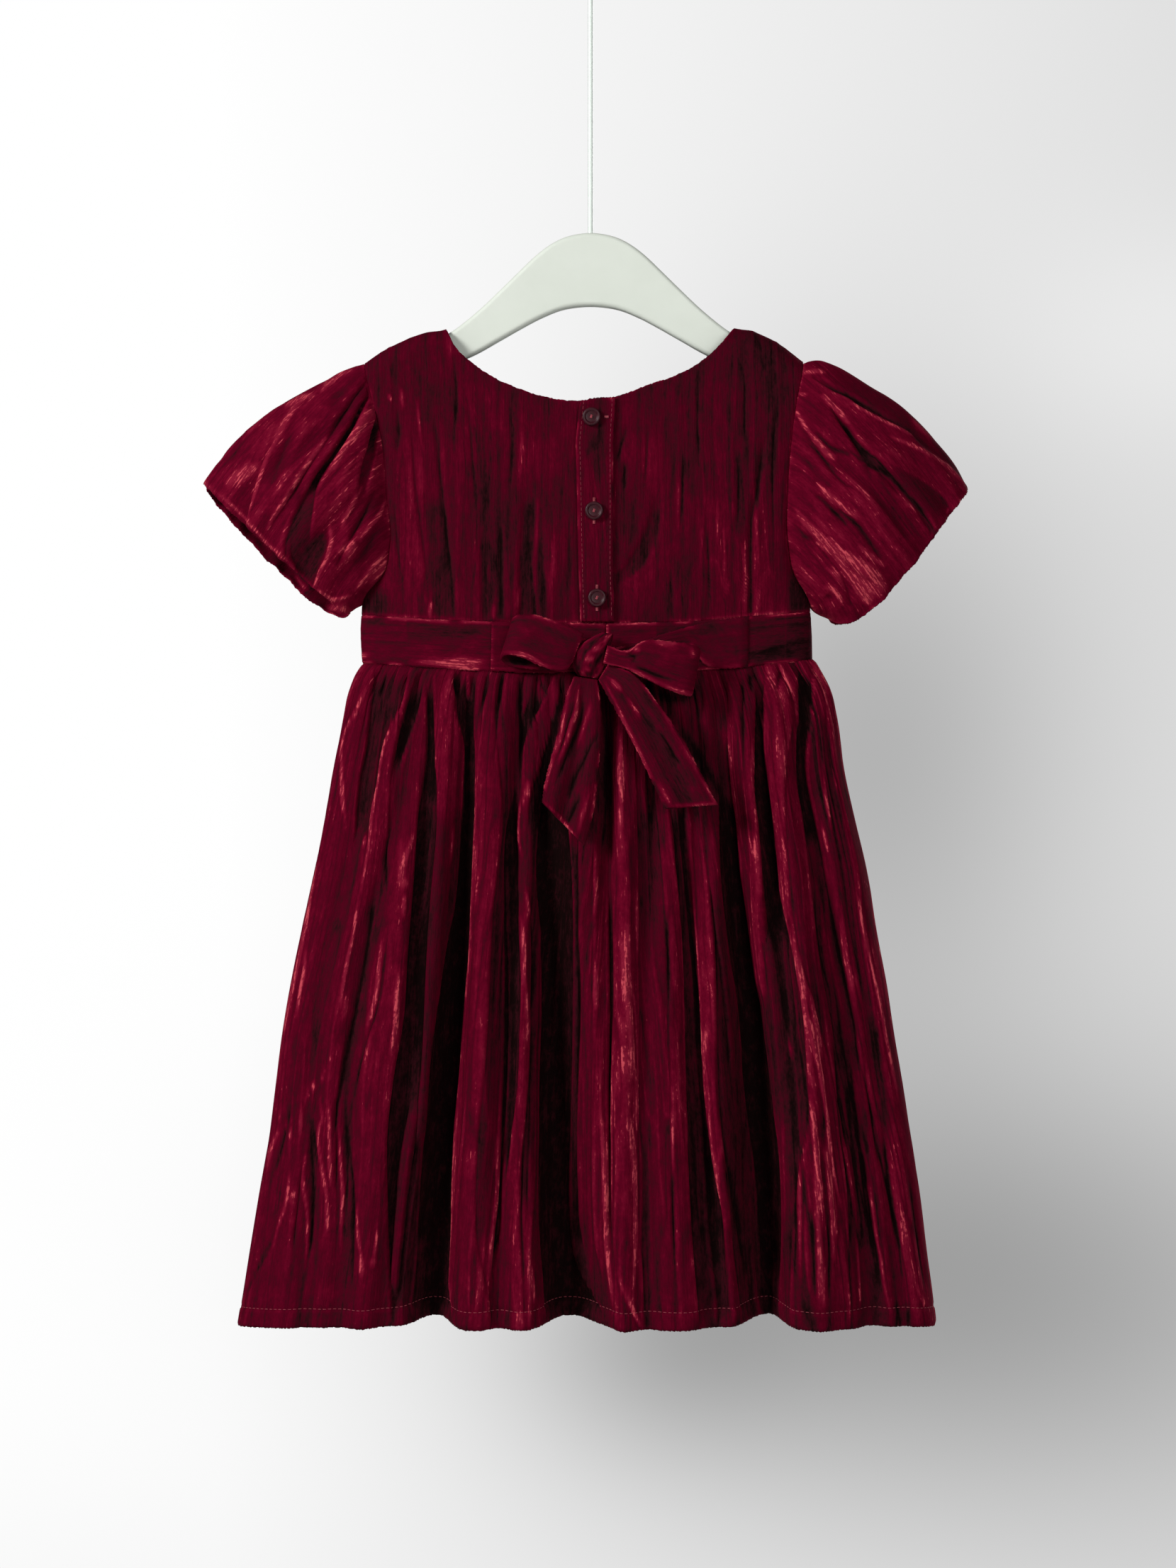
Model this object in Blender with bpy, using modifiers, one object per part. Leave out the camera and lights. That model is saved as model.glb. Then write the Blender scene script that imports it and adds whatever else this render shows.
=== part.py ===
"""Toddler party dress of crushed velvet, hung on a flat contoured hanger.

Metres, +Z up. The origin is the hang point, the top of the hook's inner curve. The dress's back
faces -Y and its front faces +Y; left and right are those seen from the back. Sizes in the tables
are millimetres; z is measured down from the hang point, so it is negative.
"""
import math

import bmesh
import bpy
import numpy as np

MM = 0.001

# Cloth
WALL = 1.3  # one layer of velvet
TIE_WALL = 1.8  # a sash tie, two layers pressed flat
PLACKET_WALL = 2.2  # the button band, two layers and their turnings
SEAM = 0.3  # half the gap between two pieces at a seam
CLEAR = 0.35  # gap between a piece and what it lies on
FLAT = 0.62  # how flat the body's oval is: 1 is an ellipse, less is flatter
BODY_HALF = 126.0  # nominal half width of the body
NECK_LEFT_X, NECK_RIGHT_X, NECK_POINT_Z = -85.5, 85.0, -262.0  # where neckline and shoulder meet
CLOSURE_X = 9.2  # where the left and right backs meet behind the placket

# Skirt
WAIST_TOP_Z = -433.0  # the waistband's top and bottom edges at the side seams, about
WAIST_SEAM_Z = -459.5
SKIRT_DROP = 392.0
GATHERS = 25  # small gathers under the waistband, on each panel
COLUMNS_PER_GATHER = 4
HEM_LIFT = 0.26  # a fold's hem rises by this share of the fold's depth

# Hanger
BOARD_TOP_Z = -204.8
BOARD_THICK = 10.6
BOARD_ROUNDING = 2.6
ROD_RADIUS = 1.5
ROD_SOCKET = 14.0  # how deep the rod goes into the board
HOOK_RADIUS = 18.0  # inside of the hook
HOOK_START, HOOK_END = -46.0, 200.0  # degrees round the hook from +X, where it starts and ends

BUTTON_GAP = 0.7  # from the placket to a button


def table(columns, *rows):
    """A list of rows, each a dict of its named columns."""
    return [dict(zip(columns.split(), row)) for row in rows]


# The body from shoulder to waist seam: side edges, and how deep the cloth stands at its middle
# and at the armhole's edge. Below the underarm, the side edges are the side seams.
BODICE = table(
    "z      left    right  middle  edge",
    (-255, -133.5, 125.5, 12.0, 12.0),
    (-282, -133.2, 125.3, 14.0, 12.0),
    (-308, -127.2, 120.5, 17.0, 14.0),
    (-333, -121.8, 117.2, 19.0, 15.0),
    (-360, -119.6, 115.4, 20.0, 15.0),
    (-389, -117.4, 115.4, 20.5, 13.0),
    (-408, -122.0, 119.5, 20.5, 8.0),
    (-421, -133.6, 128.6, 20.5, 0.6),
    (-431, -135.0, 129.7, 20.5, 0.0),
    (-470, -134.0, 131.0, 21.0, 0.0),
)

# The shoulder's ridge across, and how it would run on over the neck.
SHOULDER = table(
    "x        z",
    (-134.0, -282.6),
    (-124.5, -275.8),
    (-113.8, -270.1),
    (-97.0, -263.6),
    (-85.5, -261.6),
    (-60.0, -236.0),
    (0.0, -215.0),
    (60.0, -236.0),
    (85.0, -261.2),
    (94.0, -262.6),
    (103.7, -266.2),
    (113.0, -271.6),
    (126.0, -281.6),
)
SHOULDER_ROUND = 12.0  # drop over which the cloth turns from the ridge to the back
NECK_CORNER = 3.0  # the neck edge turns this fast from the ridge to the front and back

NECK_BACK = table(
    "x        z",
    (-85.5, -261.6),
    (-80.1, -272.8),
    (-71.0, -282.0),
    (-59.7, -290.3),
    (-45.9, -297.0),
    (-30.9, -302.4),
    (-15.0, -305.6),
    (0.0, -305.4),
    (15.4, -303.2),
    (33.8, -296.3),
    (48.8, -291.2),
    (67.6, -280.4),
    (77.0, -271.5),
    (85.0, -261.2),
)
NECK_FRONT = table(
    "x        z",
    (-85.5, -261.6),
    (-79.0, -278.0),
    (-67.0, -292.0),
    (-50.0, -304.0),
    (-28.0, -312.0),
    (0.0, -315.0),
    (28.0, -312.0),
    (50.0, -304.0),
    (67.0, -292.0),
    (78.5, -278.0),
    (85.0, -261.2),
)

WAISTBAND = table(
    "x        top     bottom",
    (-136.0, -431.0, -459.2),
    (-100.0, -433.6, -462.2),
    (-60.0, -435.4, -464.6),
    (0.0, -436.2, -465.4),
    (60.0, -435.2, -464.0),
    (100.0, -431.8, -461.0),
    (132.0, -429.0, -457.4),
)

# The skirt by drop below the waist seam: side seams, and how deep its back and front stand.
SKIRT = table(
    "drop    left    right   depth",
    (0.0, -133.9, 131.6, 21.5),
    (6.0, -137.5, 134.6, 22.6),
    (16.0, -141.8, 139.8, 24.5),
    (34.0, -145.8, 144.6, 27.0),
    (62.0, -151.4, 148.6, 30.0),
    (94.0, -156.9, 155.6, 33.0),
    (122.0, -162.3, 162.2, 35.5),
    (158.0, -170.3, 168.0, 38.5),
    (192.0, -177.2, 174.6, 41.0),
    (225.0, -182.7, 180.0, 43.0),
    (248.0, -185.4, 184.0, 44.5),
    (280.0, -189.6, 189.0, 46.0),
    (312.0, -195.2, 193.8, 47.0),
    (346.0, -200.8, 198.0, 48.0),
    (380.0, -206.2, 202.2, 48.5),
    (392.0, -208.2, 203.4, 48.5),
)

# The large folds, each a valley (or a ridge, with a minus depth) that runs from the waist to the
# hem: its place across at the top, the middle and the hem, its depth there, and how wide its
# left and right flanks are at the top and at the hem.
BACK_FOLDS = table(
    "top     mid     hem    dtop  dmid  dhem  ltop  rtop  lhem  rhem",
    (-125.0, -157.0, -165.0, 1.5, 3.0, 3.0, 7.0, 7.0, 9.0, 9.0),
    (-104.6, -135.2, -147.0, 2.5, 5.0, 4.0, 7.0, 7.0, 9.0, 9.0),
    (-94.0, -102.0, -119.0, 3.5, 7.0, 6.0, 7.0, 7.0, 10.0, 10.0),
    (-72.0, -78.5, -90.0, 6.0, 22.0, 27.0, 8.0, 7.0, 16.0, 10.0),
    (-40.5, -48.8, -53.0, 5.0, 8.0, 5.0, 7.0, 7.0, 8.0, 8.0),
    (-27.0, -24.0, -13.0, 5.0, 22.0, 27.0, 7.0, 8.0, 15.0, 20.0),
    (9.0, 11.0, 11.0, 6.0, 4.0, 2.0, 6.0, 4.5, 7.0, 6.0),
    (18.5, 20.5, 17.0, -3.0, -4.0, -3.0, 5.0, 5.0, 6.0, 7.0),
    (40.0, 30.0, 34.0, 3.0, 3.0, 3.0, 7.0, 7.0, 8.0, 8.0),
    (62.0, 60.5, 72.0, 5.0, 9.0, 6.0, 8.0, 8.0, 10.0, 9.0),
    (78.0, 94.0, 104.0, 6.0, 21.0, 27.0, 8.0, 8.0, 17.0, 9.5),
    (101.0, 114.0, 112.0, 4.0, 5.0, 3.0, 7.0, 6.0, 9.0, 8.0),
    (108.0, 124.5, 134.0, -2.0, -4.5, -3.0, 5.0, 6.0, 7.0, 8.0),
    (124.0, 146.0, 165.0, 3.0, 6.0, 6.0, 7.0, 7.0, 9.0, 9.0),
    (136.0, 161.0, 183.0, 1.0, 3.5, 3.5, 5.0, 5.0, 7.0, 7.0),
)
FRONT_FOLDS = table(
    "top     mid     hem    dtop  dmid  dhem  ltop  rtop  lhem  rhem",
    (-118.0, -144.0, -158.0, 2.0, 5.0, 6.0, 7.0, 7.0, 9.0, 9.0),
    (-98.0, -112.0, -124.0, 4.0, 13.0, 17.0, 8.0, 8.0, 12.0, 17.0),
    (-76.0, -80.0, -84.0, 4.0, 7.0, 5.0, 7.0, 7.0, 9.0, 9.0),
    (-52.0, -50.0, -46.0, 6.0, 15.0, 19.0, 8.0, 8.0, 14.0, 18.0),
    (-24.0, -20.0, -16.0, 4.0, 6.0, 4.0, 7.0, 7.0, 8.0, 8.0),
    (2.0, 6.0, 12.0, 5.0, 9.0, 8.0, 7.0, 7.0, 10.0, 9.0),
    (28.0, 36.0, 44.0, 6.0, 15.0, 19.0, 8.0, 8.0, 18.0, 13.0),
    (52.0, 62.0, 72.0, 4.0, 6.0, 5.0, 7.0, 7.0, 8.0, 9.0),
    (74.0, 88.0, 100.0, 5.0, 9.0, 7.0, 7.0, 7.0, 9.0, 9.0),
    (98.0, 118.0, 132.0, 6.0, 13.0, 16.0, 8.0, 7.0, 17.0, 12.0),
    (122.0, 146.0, 164.0, 2.0, 5.0, 6.0, 7.0, 7.0, 9.0, 9.0),
)
# How the gathers swell below the waist seam and fade down the skirt.
GATHER_SWELL = table(
    "drop    height",
    (0.0, 0.7),
    (8.0, 1.7),
    (22.0, 2.1),
    (50.0, 1.7),
    (100.0, 0.9),
    (170.0, 0.3),
    (400.0, 0.0),
)

# Each sleeve from armhole to opening: its top and underarm edges, its depth in Y, and how far the
# opening bows out from the straight line between those edges, on the back and on the front.
SLEEVE_LEFT = table(
    "share  top_x   top_z   low_x   low_z   depth  bow_back  bow_front  lean",
    (0.00, -134.2, -283.2, -136.6, -422.4, 12.6, -14.5, -14.5, 0.0),
    (0.08, -141.0, -285.2, -137.2, -424.0, 20.0, -12.0, -12.0, 0.0),
    (0.22, -154.0, -291.4, -138.0, -425.4, 27.0, -7.5, -6.0, 0.0),
    (0.42, -174.5, -302.0, -139.4, -426.6, 31.0, -2.5, 1.0, 0.1),
    (0.62, -193.5, -314.4, -140.6, -427.6, 31.0, 0.5, 5.0, 0.2),
    (0.80, -210.6, -329.6, -141.8, -428.4, 28.0, 1.5, 7.2, 0.35),
    (0.92, -221.6, -343.6, -142.6, -429.0, 24.5, 2.2, 8.6, 0.4),
    (1.00, -228.0, -353.6, -143.0, -429.4, 21.5, 2.5, 9.2, 0.4),
)
SLEEVE_RIGHT = table(
    "share  top_x   top_z   low_x   low_z   depth  bow_back  bow_front  lean",
    (0.00, 126.3, -282.0, 131.6, -424.4, 12.6, -11.5, -11.5, 0.0),
    (0.08, 133.0, -280.4, 132.4, -426.6, 20.0, -9.5, -9.5, 0.1),
    (0.22, 145.0, -283.6, 133.6, -428.6, 27.0, -4.5, -5.0, 0.3),
    (0.42, 165.5, -295.6, 135.4, -430.2, 31.0, 1.0, 0.5, 0.6),
    (0.62, 185.5, -308.6, 137.4, -431.0, 31.0, 5.5, 4.5, 0.8),
    (0.80, 203.4, -327.0, 139.4, -431.4, 28.0, 8.5, 7.5, 0.8),
    (0.92, 216.6, -342.8, 140.8, -431.6, 24.5, 10.0, 9.0, 0.8),
    (1.00, 224.0, -355.0, 141.6, -431.6, 21.5, 10.6, 9.6, 0.8),
)
# Folds that run along a sleeve, by the turn round it from the top edge: 0 top, 90 the middle of
# the back, 180 underarm, 270 the middle of the front. Depth is least at the armhole.
SLEEVE_FOLDS_LEFT = table(
    "start  end   depth  width",
    (28.0, 20.0, 2.0, 9.0),
    (58.0, 62.0, 4.2, 10.0),
    (80.0, 86.0, 3.2, 8.0),
    (100.0, 116.0, 4.4, 10.0),
    (126.0, 146.0, 3.4, 10.0),
    (210.0, 204.0, 2.4, 11.0),
    (238.0, 236.0, 4.0, 11.0),
    (266.0, 270.0, 3.4, 10.0),
    (296.0, 304.0, 4.0, 11.0),
    (330.0, 338.0, 2.4, 10.0),
)
SLEEVE_FOLDS_RIGHT = table(
    "start  end   depth  width",
    (24.0, 22.0, 2.4, 9.0),
    (52.0, 50.0, 3.8, 9.0),
    (72.0, 80.0, 4.4, 10.0),
    (96.0, 110.0, 3.2, 9.0),
    (118.0, 138.0, 4.2, 11.0),
    (214.0, 208.0, 2.4, 11.0),
    (240.0, 242.0, 4.0, 11.0),
    (270.0, 276.0, 3.4, 10.0),
    (300.0, 306.0, 4.0, 11.0),
    (334.0, 340.0, 2.4, 10.0),
)
ARMHOLE_TOP_Z = -283.2
ARMHOLE_LOW_Z = -424.0
ARMHOLE_GAP = 1.65  # from the bodice's edge to the sleeve's
UNDERARM_GAP = 1.0  # and this much more under the arm, where the sleeve leaves square to the body
ARMHOLE_BLEND = 0.35  # share of the sleeve over which the armhole's shape fades out
SLEEVE_GATHERS = 12  # small gathers round the sleeve's head
SLEEVE_GATHER_HEIGHT = 0.9

# Strips of sash, each a row of cross sections: upper (or left) edge, lower (or right) edge. A tie
# lies on the waistband, so its rows give the gap between them at each edge.
TIE_LEFT = table(
    "ax      az      bx     bz      out_a  out_b",
    (-58.0, -435.6, -58.6, -464.2, 0.35, 0.35),
    (-44.0, -436.2, -44.0, -465.0, 0.5, 0.5),
    (-28.0, -437.4, -28.0, -465.4, 0.6, 0.6),
    (-16.0, -440.0, -16.0, -464.6, 0.5, 0.5),
    (-7.4, -444.4, -7.4, -460.6, 0.4, 0.4),
    (-2.0, -446.4, -2.6, -458.8, 0.35, 0.35),
)
TIE_RIGHT = table(
    "ax      az      bx     bz      out_a  out_b",
    (93.0, -432.6, 92.6, -462.0, 0.35, 0.35),
    (81.4, -434.0, 80.6, -463.0, 0.45, 0.45),
    (68.0, -436.2, 68.0, -461.0, 0.7, 0.7),
    (58.1, -438.8, 58.6, -452.0, 1.1, 1.1),
    (43.6, -442.8, 44.0, -451.6, 1.3, 1.3),
    (29.0, -448.0, 28.6, -456.0, 1.1, 1.1),
    (13.4, -451.6, 13.0, -461.4, 0.7, 0.7),
    (3.6, -452.4, 3.0, -461.0, 0.35, 0.35),
)
# A loop or tail stands free of the dress: its rows give how far its middle layer stands out from
# the body's middle plane at each edge.
LOOP_LEFT = table(
    "ax      az      bx     bz      out_a  out_b",
    (-4.0, -443.6, -10.8, -459.8, 34.2, 34.0),
    (-13.0, -438.6, -16.0, -465.0, 35.0, 36.6),
    (-22.6, -435.4, -28.0, -462.4, 35.0, 38.0),
    (-32.4, -432.6, -38.8, -457.4, 34.6, 38.4),
    (-40.6, -432.4, -47.0, -455.4, 33.6, 37.0),
    (-44.4, -433.4, -51.4, -456.4, 31.2, 33.0),
    (-43.8, -434.6, -51.6, -458.8, 28.8, 29.4),
    (-39.0, -435.8, -46.4, -461.8, 27.2, 27.2),
    (-28.0, -438.0, -32.0, -463.6, 26.8, 26.8),
    (-14.6, -442.0, -16.4, -464.0, 26.8, 26.8),
    (-4.4, -446.0, -11.3, -459.6, 26.2, 26.2),
)
LOOP_RIGHT = table(
    "ax      az      bx     bz      out_a  out_b",
    (9.8, -450.4, 7.4, -460.2, 35.6, 35.6),
    (21.0, -453.4, 20.8, -463.8, 37.6, 37.8),
    (31.4, -447.6, 29.4, -468.0, 39.0, 39.6),
    (44.0, -448.0, 41.6, -474.2, 39.4, 40.0),
    (56.0, -449.4, 52.6, -478.4, 38.6, 39.2),
    (62.6, -451.6, 57.6, -479.4, 36.4, 36.8),
    (63.6, -453.4, 58.6, -478.6, 33.2, 33.4),
    (59.4, -454.2, 55.0, -476.8, 30.8, 31.2),
    (46.0, -454.0, 43.0, -472.6, 29.2, 30.2),
    (30.0, -454.4, 28.0, -468.0, 28.2, 29.4),
    (10.6, -454.6, 10.2, -462.4, 27.2, 27.4),
)
TAIL_LEFT = table(
    "ax      az      bx     bz      out_a  out_b",
    (-9.4, -467.9, 3.8, -470.1, 30.6, 31.0),
    (-13.4, -478.0, 5.4, -482.0, 35.0, 36.6),
    (-16.4, -490.0, 6.0, -497.0, 37.6, 38.6),
    (-20.0, -506.0, 4.9, -515.0, 39.6, 40.4),
    (-23.8, -520.0, 3.4, -531.5, 41.0, 41.8),
    (-26.6, -531.6, 1.4, -547.0, 42.2, 43.0),
    (-28.0, -541.8, -3.4, -567.0, 43.2, 44.0),
)
TAIL_RIGHT = table(
    "ax      az      bx     bz      out_a  out_b",
    (4.8, -469.9, 10.2, -460.8, 31.2, 31.4),
    (9.6, -478.6, 25.4, -467.6, 38.6, 38.6),
    (17.0, -491.8, 39.2, -484.3, 41.6, 41.6),
    (27.4, -511.9, 53.0, -504.1, 43.2, 43.2),
    (36.0, -529.4, 62.4, -522.0, 44.0, 44.0),
    (43.7, -545.4, 73.6, -543.0, 44.8, 44.8),
)
STRIP_FOLD = {"bow_tail_left": 2.2, "bow_tail_right": 1.0}  # lengthwise folds' height

# The knot: a band wound round, leaning over to the right. Sections from its foot to its top.
KNOT = table(
    "x      z       half_width  half_depth  out",
    (-1.6, -468.4, 5.8, 3.2, 28.6),
    (-1.8, -464.4, 8.6, 5.2, 29.3),
    (-0.6, -458.0, 9.6, 6.2, 30.15),
    (2.0, -451.8, 9.2, 6.2, 30.25),
    (6.2, -446.4, 7.0, 5.2, 29.8),
    (9.6, -442.8, 4.0, 3.2, 29.2),
)
KNOT_CREASES = 5
KNOT_CREASE = 0.08  # a crease's depth, as a share of the knot's radius
KNOT_LEAN = 0.175  # how steeply its sections tip down to the right

BUTTONS = table(
    "name     x    z",
    ("top", 0.5, -315.4),
    ("middle", 2.1, -370.7),
    ("bottom", 3.8, -421.8),
)
# A button's half profile from the middle of its back round to the middle of its face, which has a
# raised rim round a dished middle.
BUTTON_PROFILE = table(
    "radius  height",
    (0.00, 0.00),
    (4.60, 0.00),
    (5.40, 0.70),
    (5.40, 1.60),
    (5.00, 2.40),
    (4.40, 2.60),
    (3.70, 2.30),
    (3.30, 1.70),
    (2.00, 1.60),
    (0.00, 1.60),
)

PLACKET = table(
    "z        left    right",
    (-304.0, -6.2, 14.6),
    (-330.0, -8.8, 13.4),
    (-365.0, -7.9, 13.4),
    (-401.0, -7.2, 13.2),
    (-435.7, -6.0, 14.2),
)

# The hanger board's outline over one half, from the middle: upper edge outwards, lower edge back.
BOARD_UPPER = table(
    "x       z",
    (0.0, 0.0),
    (10.0, -1.2),
    (18.0, -3.8),
    (26.0, -8.4),
    (34.0, -14.9),
    (43.0, -23.6),
    (52.6, -33.0),
    (63.0, -43.0),
    (73.0, -51.6),
    (81.5, -58.0),
    (88.0, -61.2),
    (98.0, -62.6),
    (107.0, -66.8),
    (116.0, -72.0),
)
BOARD_TIP = table(
    "x       z",
    (119.4, -74.6),
    (120.8, -78.2),
    (119.4, -82.0),
)
BOARD_LOWER = table(
    "x       z",
    (116.0, -84.0),
    (104.0, -82.6),
    (90.0, -80.2),
    (70.0, -72.6),
    (54.0, -63.8),
    (41.0, -56.4),
    (28.4, -49.8),
    (15.4, -44.9),
    (0.0, -43.2),
)

# The rod's bend aside into the hook, measured from the hook's lowest point.
ROD_BEND = table(
    "x    z",
    (0.0, -16.0),
    (0.9, -10.8),
    (3.8, -6.2),
    (8.0, -2.6),
)

VELVET = (0.20, 0.004, 0.022)
VELVET_DARK = (0.11, 0.003, 0.012)
SAGE = (0.69, 0.74, 0.66)
STEEL = (0.52, 0.56, 0.52)


# ---- Reading the tables ----

def along(rows, key, column, at):
    """The named column at a value of the key column, on a smooth curve through the rows."""
    knots = np.array([row[key] for row in rows], float)
    values = np.array([row[column] for row in rows], float)
    if knots[0] > knots[-1]:
        knots, values = knots[::-1], values[::-1]
    slopes = np.gradient(values, knots)
    at = np.clip(np.asarray(at, float), knots[0], knots[-1])
    i = np.clip(np.searchsorted(knots, at, side="right") - 1, 0, len(knots) - 2)
    span = knots[i + 1] - knots[i]
    t = (at - knots[i]) / span
    return (
        (1 + 2 * t) * (1 - t) ** 2 * values[i]
        + t * (1 - t) ** 2 * span * slopes[i]
        + t * t * (3 - 2 * t) * values[i + 1]
        + t * t * (t - 1) * span * slopes[i + 1]
    )


def straight(rows, key, column, at):
    """The named column at a value of the key column, in straight runs between the rows."""
    knots = np.array([row[key] for row in rows], float)
    values = np.array([row[column] for row in rows], float)
    order = np.argsort(knots)
    return np.interp(at, knots[order], values[order])


# ---- The garment's surfaces. Points are (x, y, z) in mm, y outwards from the middle plane ----

def body_depth(z, across):
    """How far the bodice stands out at a height, by the share across from middle (0) to side (1)."""
    middle = along(BODICE, "z", "middle", z)
    edge = np.maximum(along(BODICE, "z", "edge", z), 0.0)
    oval = np.cos(np.clip(np.abs(across), 0, 1) * math.pi / 2) ** FLAT
    return edge + (middle - edge) * oval


def body_points(across, z):
    """Points of the bodice's middle layer, with no rounding at the shoulder."""
    side = np.where(across < 0, -along(BODICE, "z", "left", z), along(BODICE, "z", "right", z))
    x = side * np.sin(across * math.pi / 2)
    return x, SEAM + body_depth(z, across)


def shoulder_turn(x, z):
    """1 on the flat of the back, falling to 0 at the shoulder's ridge."""
    below = np.clip((along(SHOULDER, "x", "z", x) - z) / SHOULDER_ROUND, 0, 1)
    return np.sqrt(1 - (1 - below) ** 2)


def across_at(x, z):
    """The share across the body at a place."""
    side = np.where(x < 0, -along(BODICE, "z", "left", z), along(BODICE, "z", "right", z))
    return np.arcsin(np.clip(x / side, -1, 1)) / (math.pi / 2)


def band_points(x, z, out):
    """Points that lie on the waist at the given places, moved out from it."""
    share = across_at(x, z)
    return np.stack([x, SEAM + body_depth(z, share) + out, z], -1)


def bodice_panel(neck, first, last, count, rows):
    """A bodice panel between two shares across, from neckline and shoulder down to the waistband."""
    neck_left = across_at(np.array(NECK_LEFT_X), np.array(NECK_POINT_Z))
    neck_right = across_at(np.array(NECK_RIGHT_X), np.array(NECK_POINT_Z))
    inner = NECK_CORNER / BODY_HALF * 2 / math.pi
    corners = (neck_left, neck_left + inner, neck_right - inner, neck_right)
    stops = sorted({first, last, *(float(s) for s in corners if first < s < last)})
    shares = [first]
    for a, b in zip(stops, stops[1:]):
        steps = max(1, round(count * (b - a) / (last - first)))
        shares += list(np.linspace(a, b, steps + 1)[1:])
    shares = np.array(shares)
    top = np.full(len(shares), NECK_POINT_Z)
    for _ in range(16):  # the top edge's height and place across depend on each other
        x, _depth = body_points(shares, top)
        ridge = along(SHOULDER, "x", "z", x)
        in_neck = (x > NECK_LEFT_X) & (x < NECK_RIGHT_X)
        top = 0.5 * top + 0.5 * np.where(in_neck, along(neck, "x", "z", x), ridge)
    x, _depth = body_points(shares, np.full(len(shares), WAIST_TOP_Z))
    bottom = along(WAISTBAND, "x", "top", x) + 2 * SEAM
    sheet = []
    for v in rows:
        z = top + (bottom - top) * v
        x, y = body_points(shares, z)
        turn = shoulder_turn(x, z)
        sheet.append(np.stack([x, SEAM + (y - SEAM) * turn, z], -1))
    return np.array(sheet)


def fold_depth(folds, x, drop):
    """How far the large folds draw the skirt in at a place across and a drop below the waist."""
    total = np.zeros_like(x)
    share = drop / SKIRT_DROP
    for row in folds:
        left_mid, right_mid = (row["ltop"] + row["lhem"]) / 2, (row["rtop"] + row["rhem"]) / 2
        path = table(
            "share at                 depth              l            r",
            (0.0, row["top"] * 0.97, row["dtop"] * 0.3, row["ltop"], row["rtop"]),
            (0.1, row["top"], row["dtop"], row["ltop"], row["rtop"]),
            (0.5, row["mid"], row["dmid"], left_mid, right_mid),
            (1.0, row["hem"], row["dhem"], row["lhem"], row["rhem"]),
        )
        at, depth, left, right = (along(path, "share", n, share) for n in ("at", "depth", "l", "r"))
        offset = x - at
        width = np.where(offset < 0, left, right)
        total += depth * np.exp(-np.abs(offset / width) ** 2.3)
    return total


def skirt_panel(folds, columns, drops):
    """One skirt panel from side seam to side seam. The cloth is even along each row."""
    fine = np.linspace(-1, 1, 1201)
    share = np.linspace(0, 1, columns)
    gather = np.cos(share * GATHERS * 2 * math.pi)
    uneven = 1 + 0.3 * np.sin(share * 37.0) + 0.2 * np.sin(share * 91.0 + 1.0)
    sheet = []
    for drop in drops:
        left = along(SKIRT, "drop", "left", drop)
        right = along(SKIRT, "drop", "right", drop)
        depth = along(SKIRT, "drop", "depth", drop)
        angle = fine * math.pi / 2
        x = (left + right) / 2 + (right - left) / 2 * np.sin(angle)
        oval = np.cos(angle) ** FLAT
        inward = fold_depth(folds, x, drop) * np.clip(oval * 1.6, 0, 1)
        y = SEAM + depth * oval - inward
        run = np.concatenate([[0], np.cumsum(np.hypot(np.diff(x), np.diff(y)))])
        at = share * run[-1]
        x, y, oval = (np.interp(at, run, value) for value in (x, y, oval))
        slope = np.stack([np.gradient(y), -np.gradient(x)], -1)
        normal = -slope / np.linalg.norm(slope, axis=1)[:, None]
        height = along(GATHER_SWELL, "drop", "height", drop) * uneven * np.clip(oval * 3, 0, 1)
        x = x + normal[:, 0] * gather * height
        y = y + normal[:, 1] * gather * height
        reach = drop / SKIRT_DROP
        top = along(WAISTBAND, "x", "bottom", np.clip(x * (1 - 0.35 * reach), -136, 132))
        lift = HEM_LIFT * fold_depth(folds, x, SKIRT_DROP) * reach**2
        sides = WAIST_SEAM_Z - SKIRT_DROP
        even = sides + 3.6 * np.sqrt(np.clip(y / depth, 0, 1))
        z = (top - 0.8) + (even + lift - top + 0.8) * reach
        sheet.append(np.stack([x, y, z], -1))
    return np.array(sheet)


def armhole(side, turn):
    """The armhole's edge round a full turn from the shoulder: side is -1 left, 1 right."""
    t = (1 - np.cos(turn)) / 2
    z = ARMHOLE_TOP_Z + (ARMHOLE_LOW_Z - ARMHOLE_TOP_Z) * t
    column = "left" if side < 0 else "right"
    x = along(BODICE, "z", column, z)
    depth = np.maximum(along(BODICE, "z", "edge", z), 0.0)
    y = SEAM + depth * shoulder_turn(x, z)
    x = x + side * (ARMHOLE_GAP + UNDERARM_GAP * t**2)
    return np.stack([x, -np.sign(np.sin(turn)) * y, z], -1)


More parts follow.
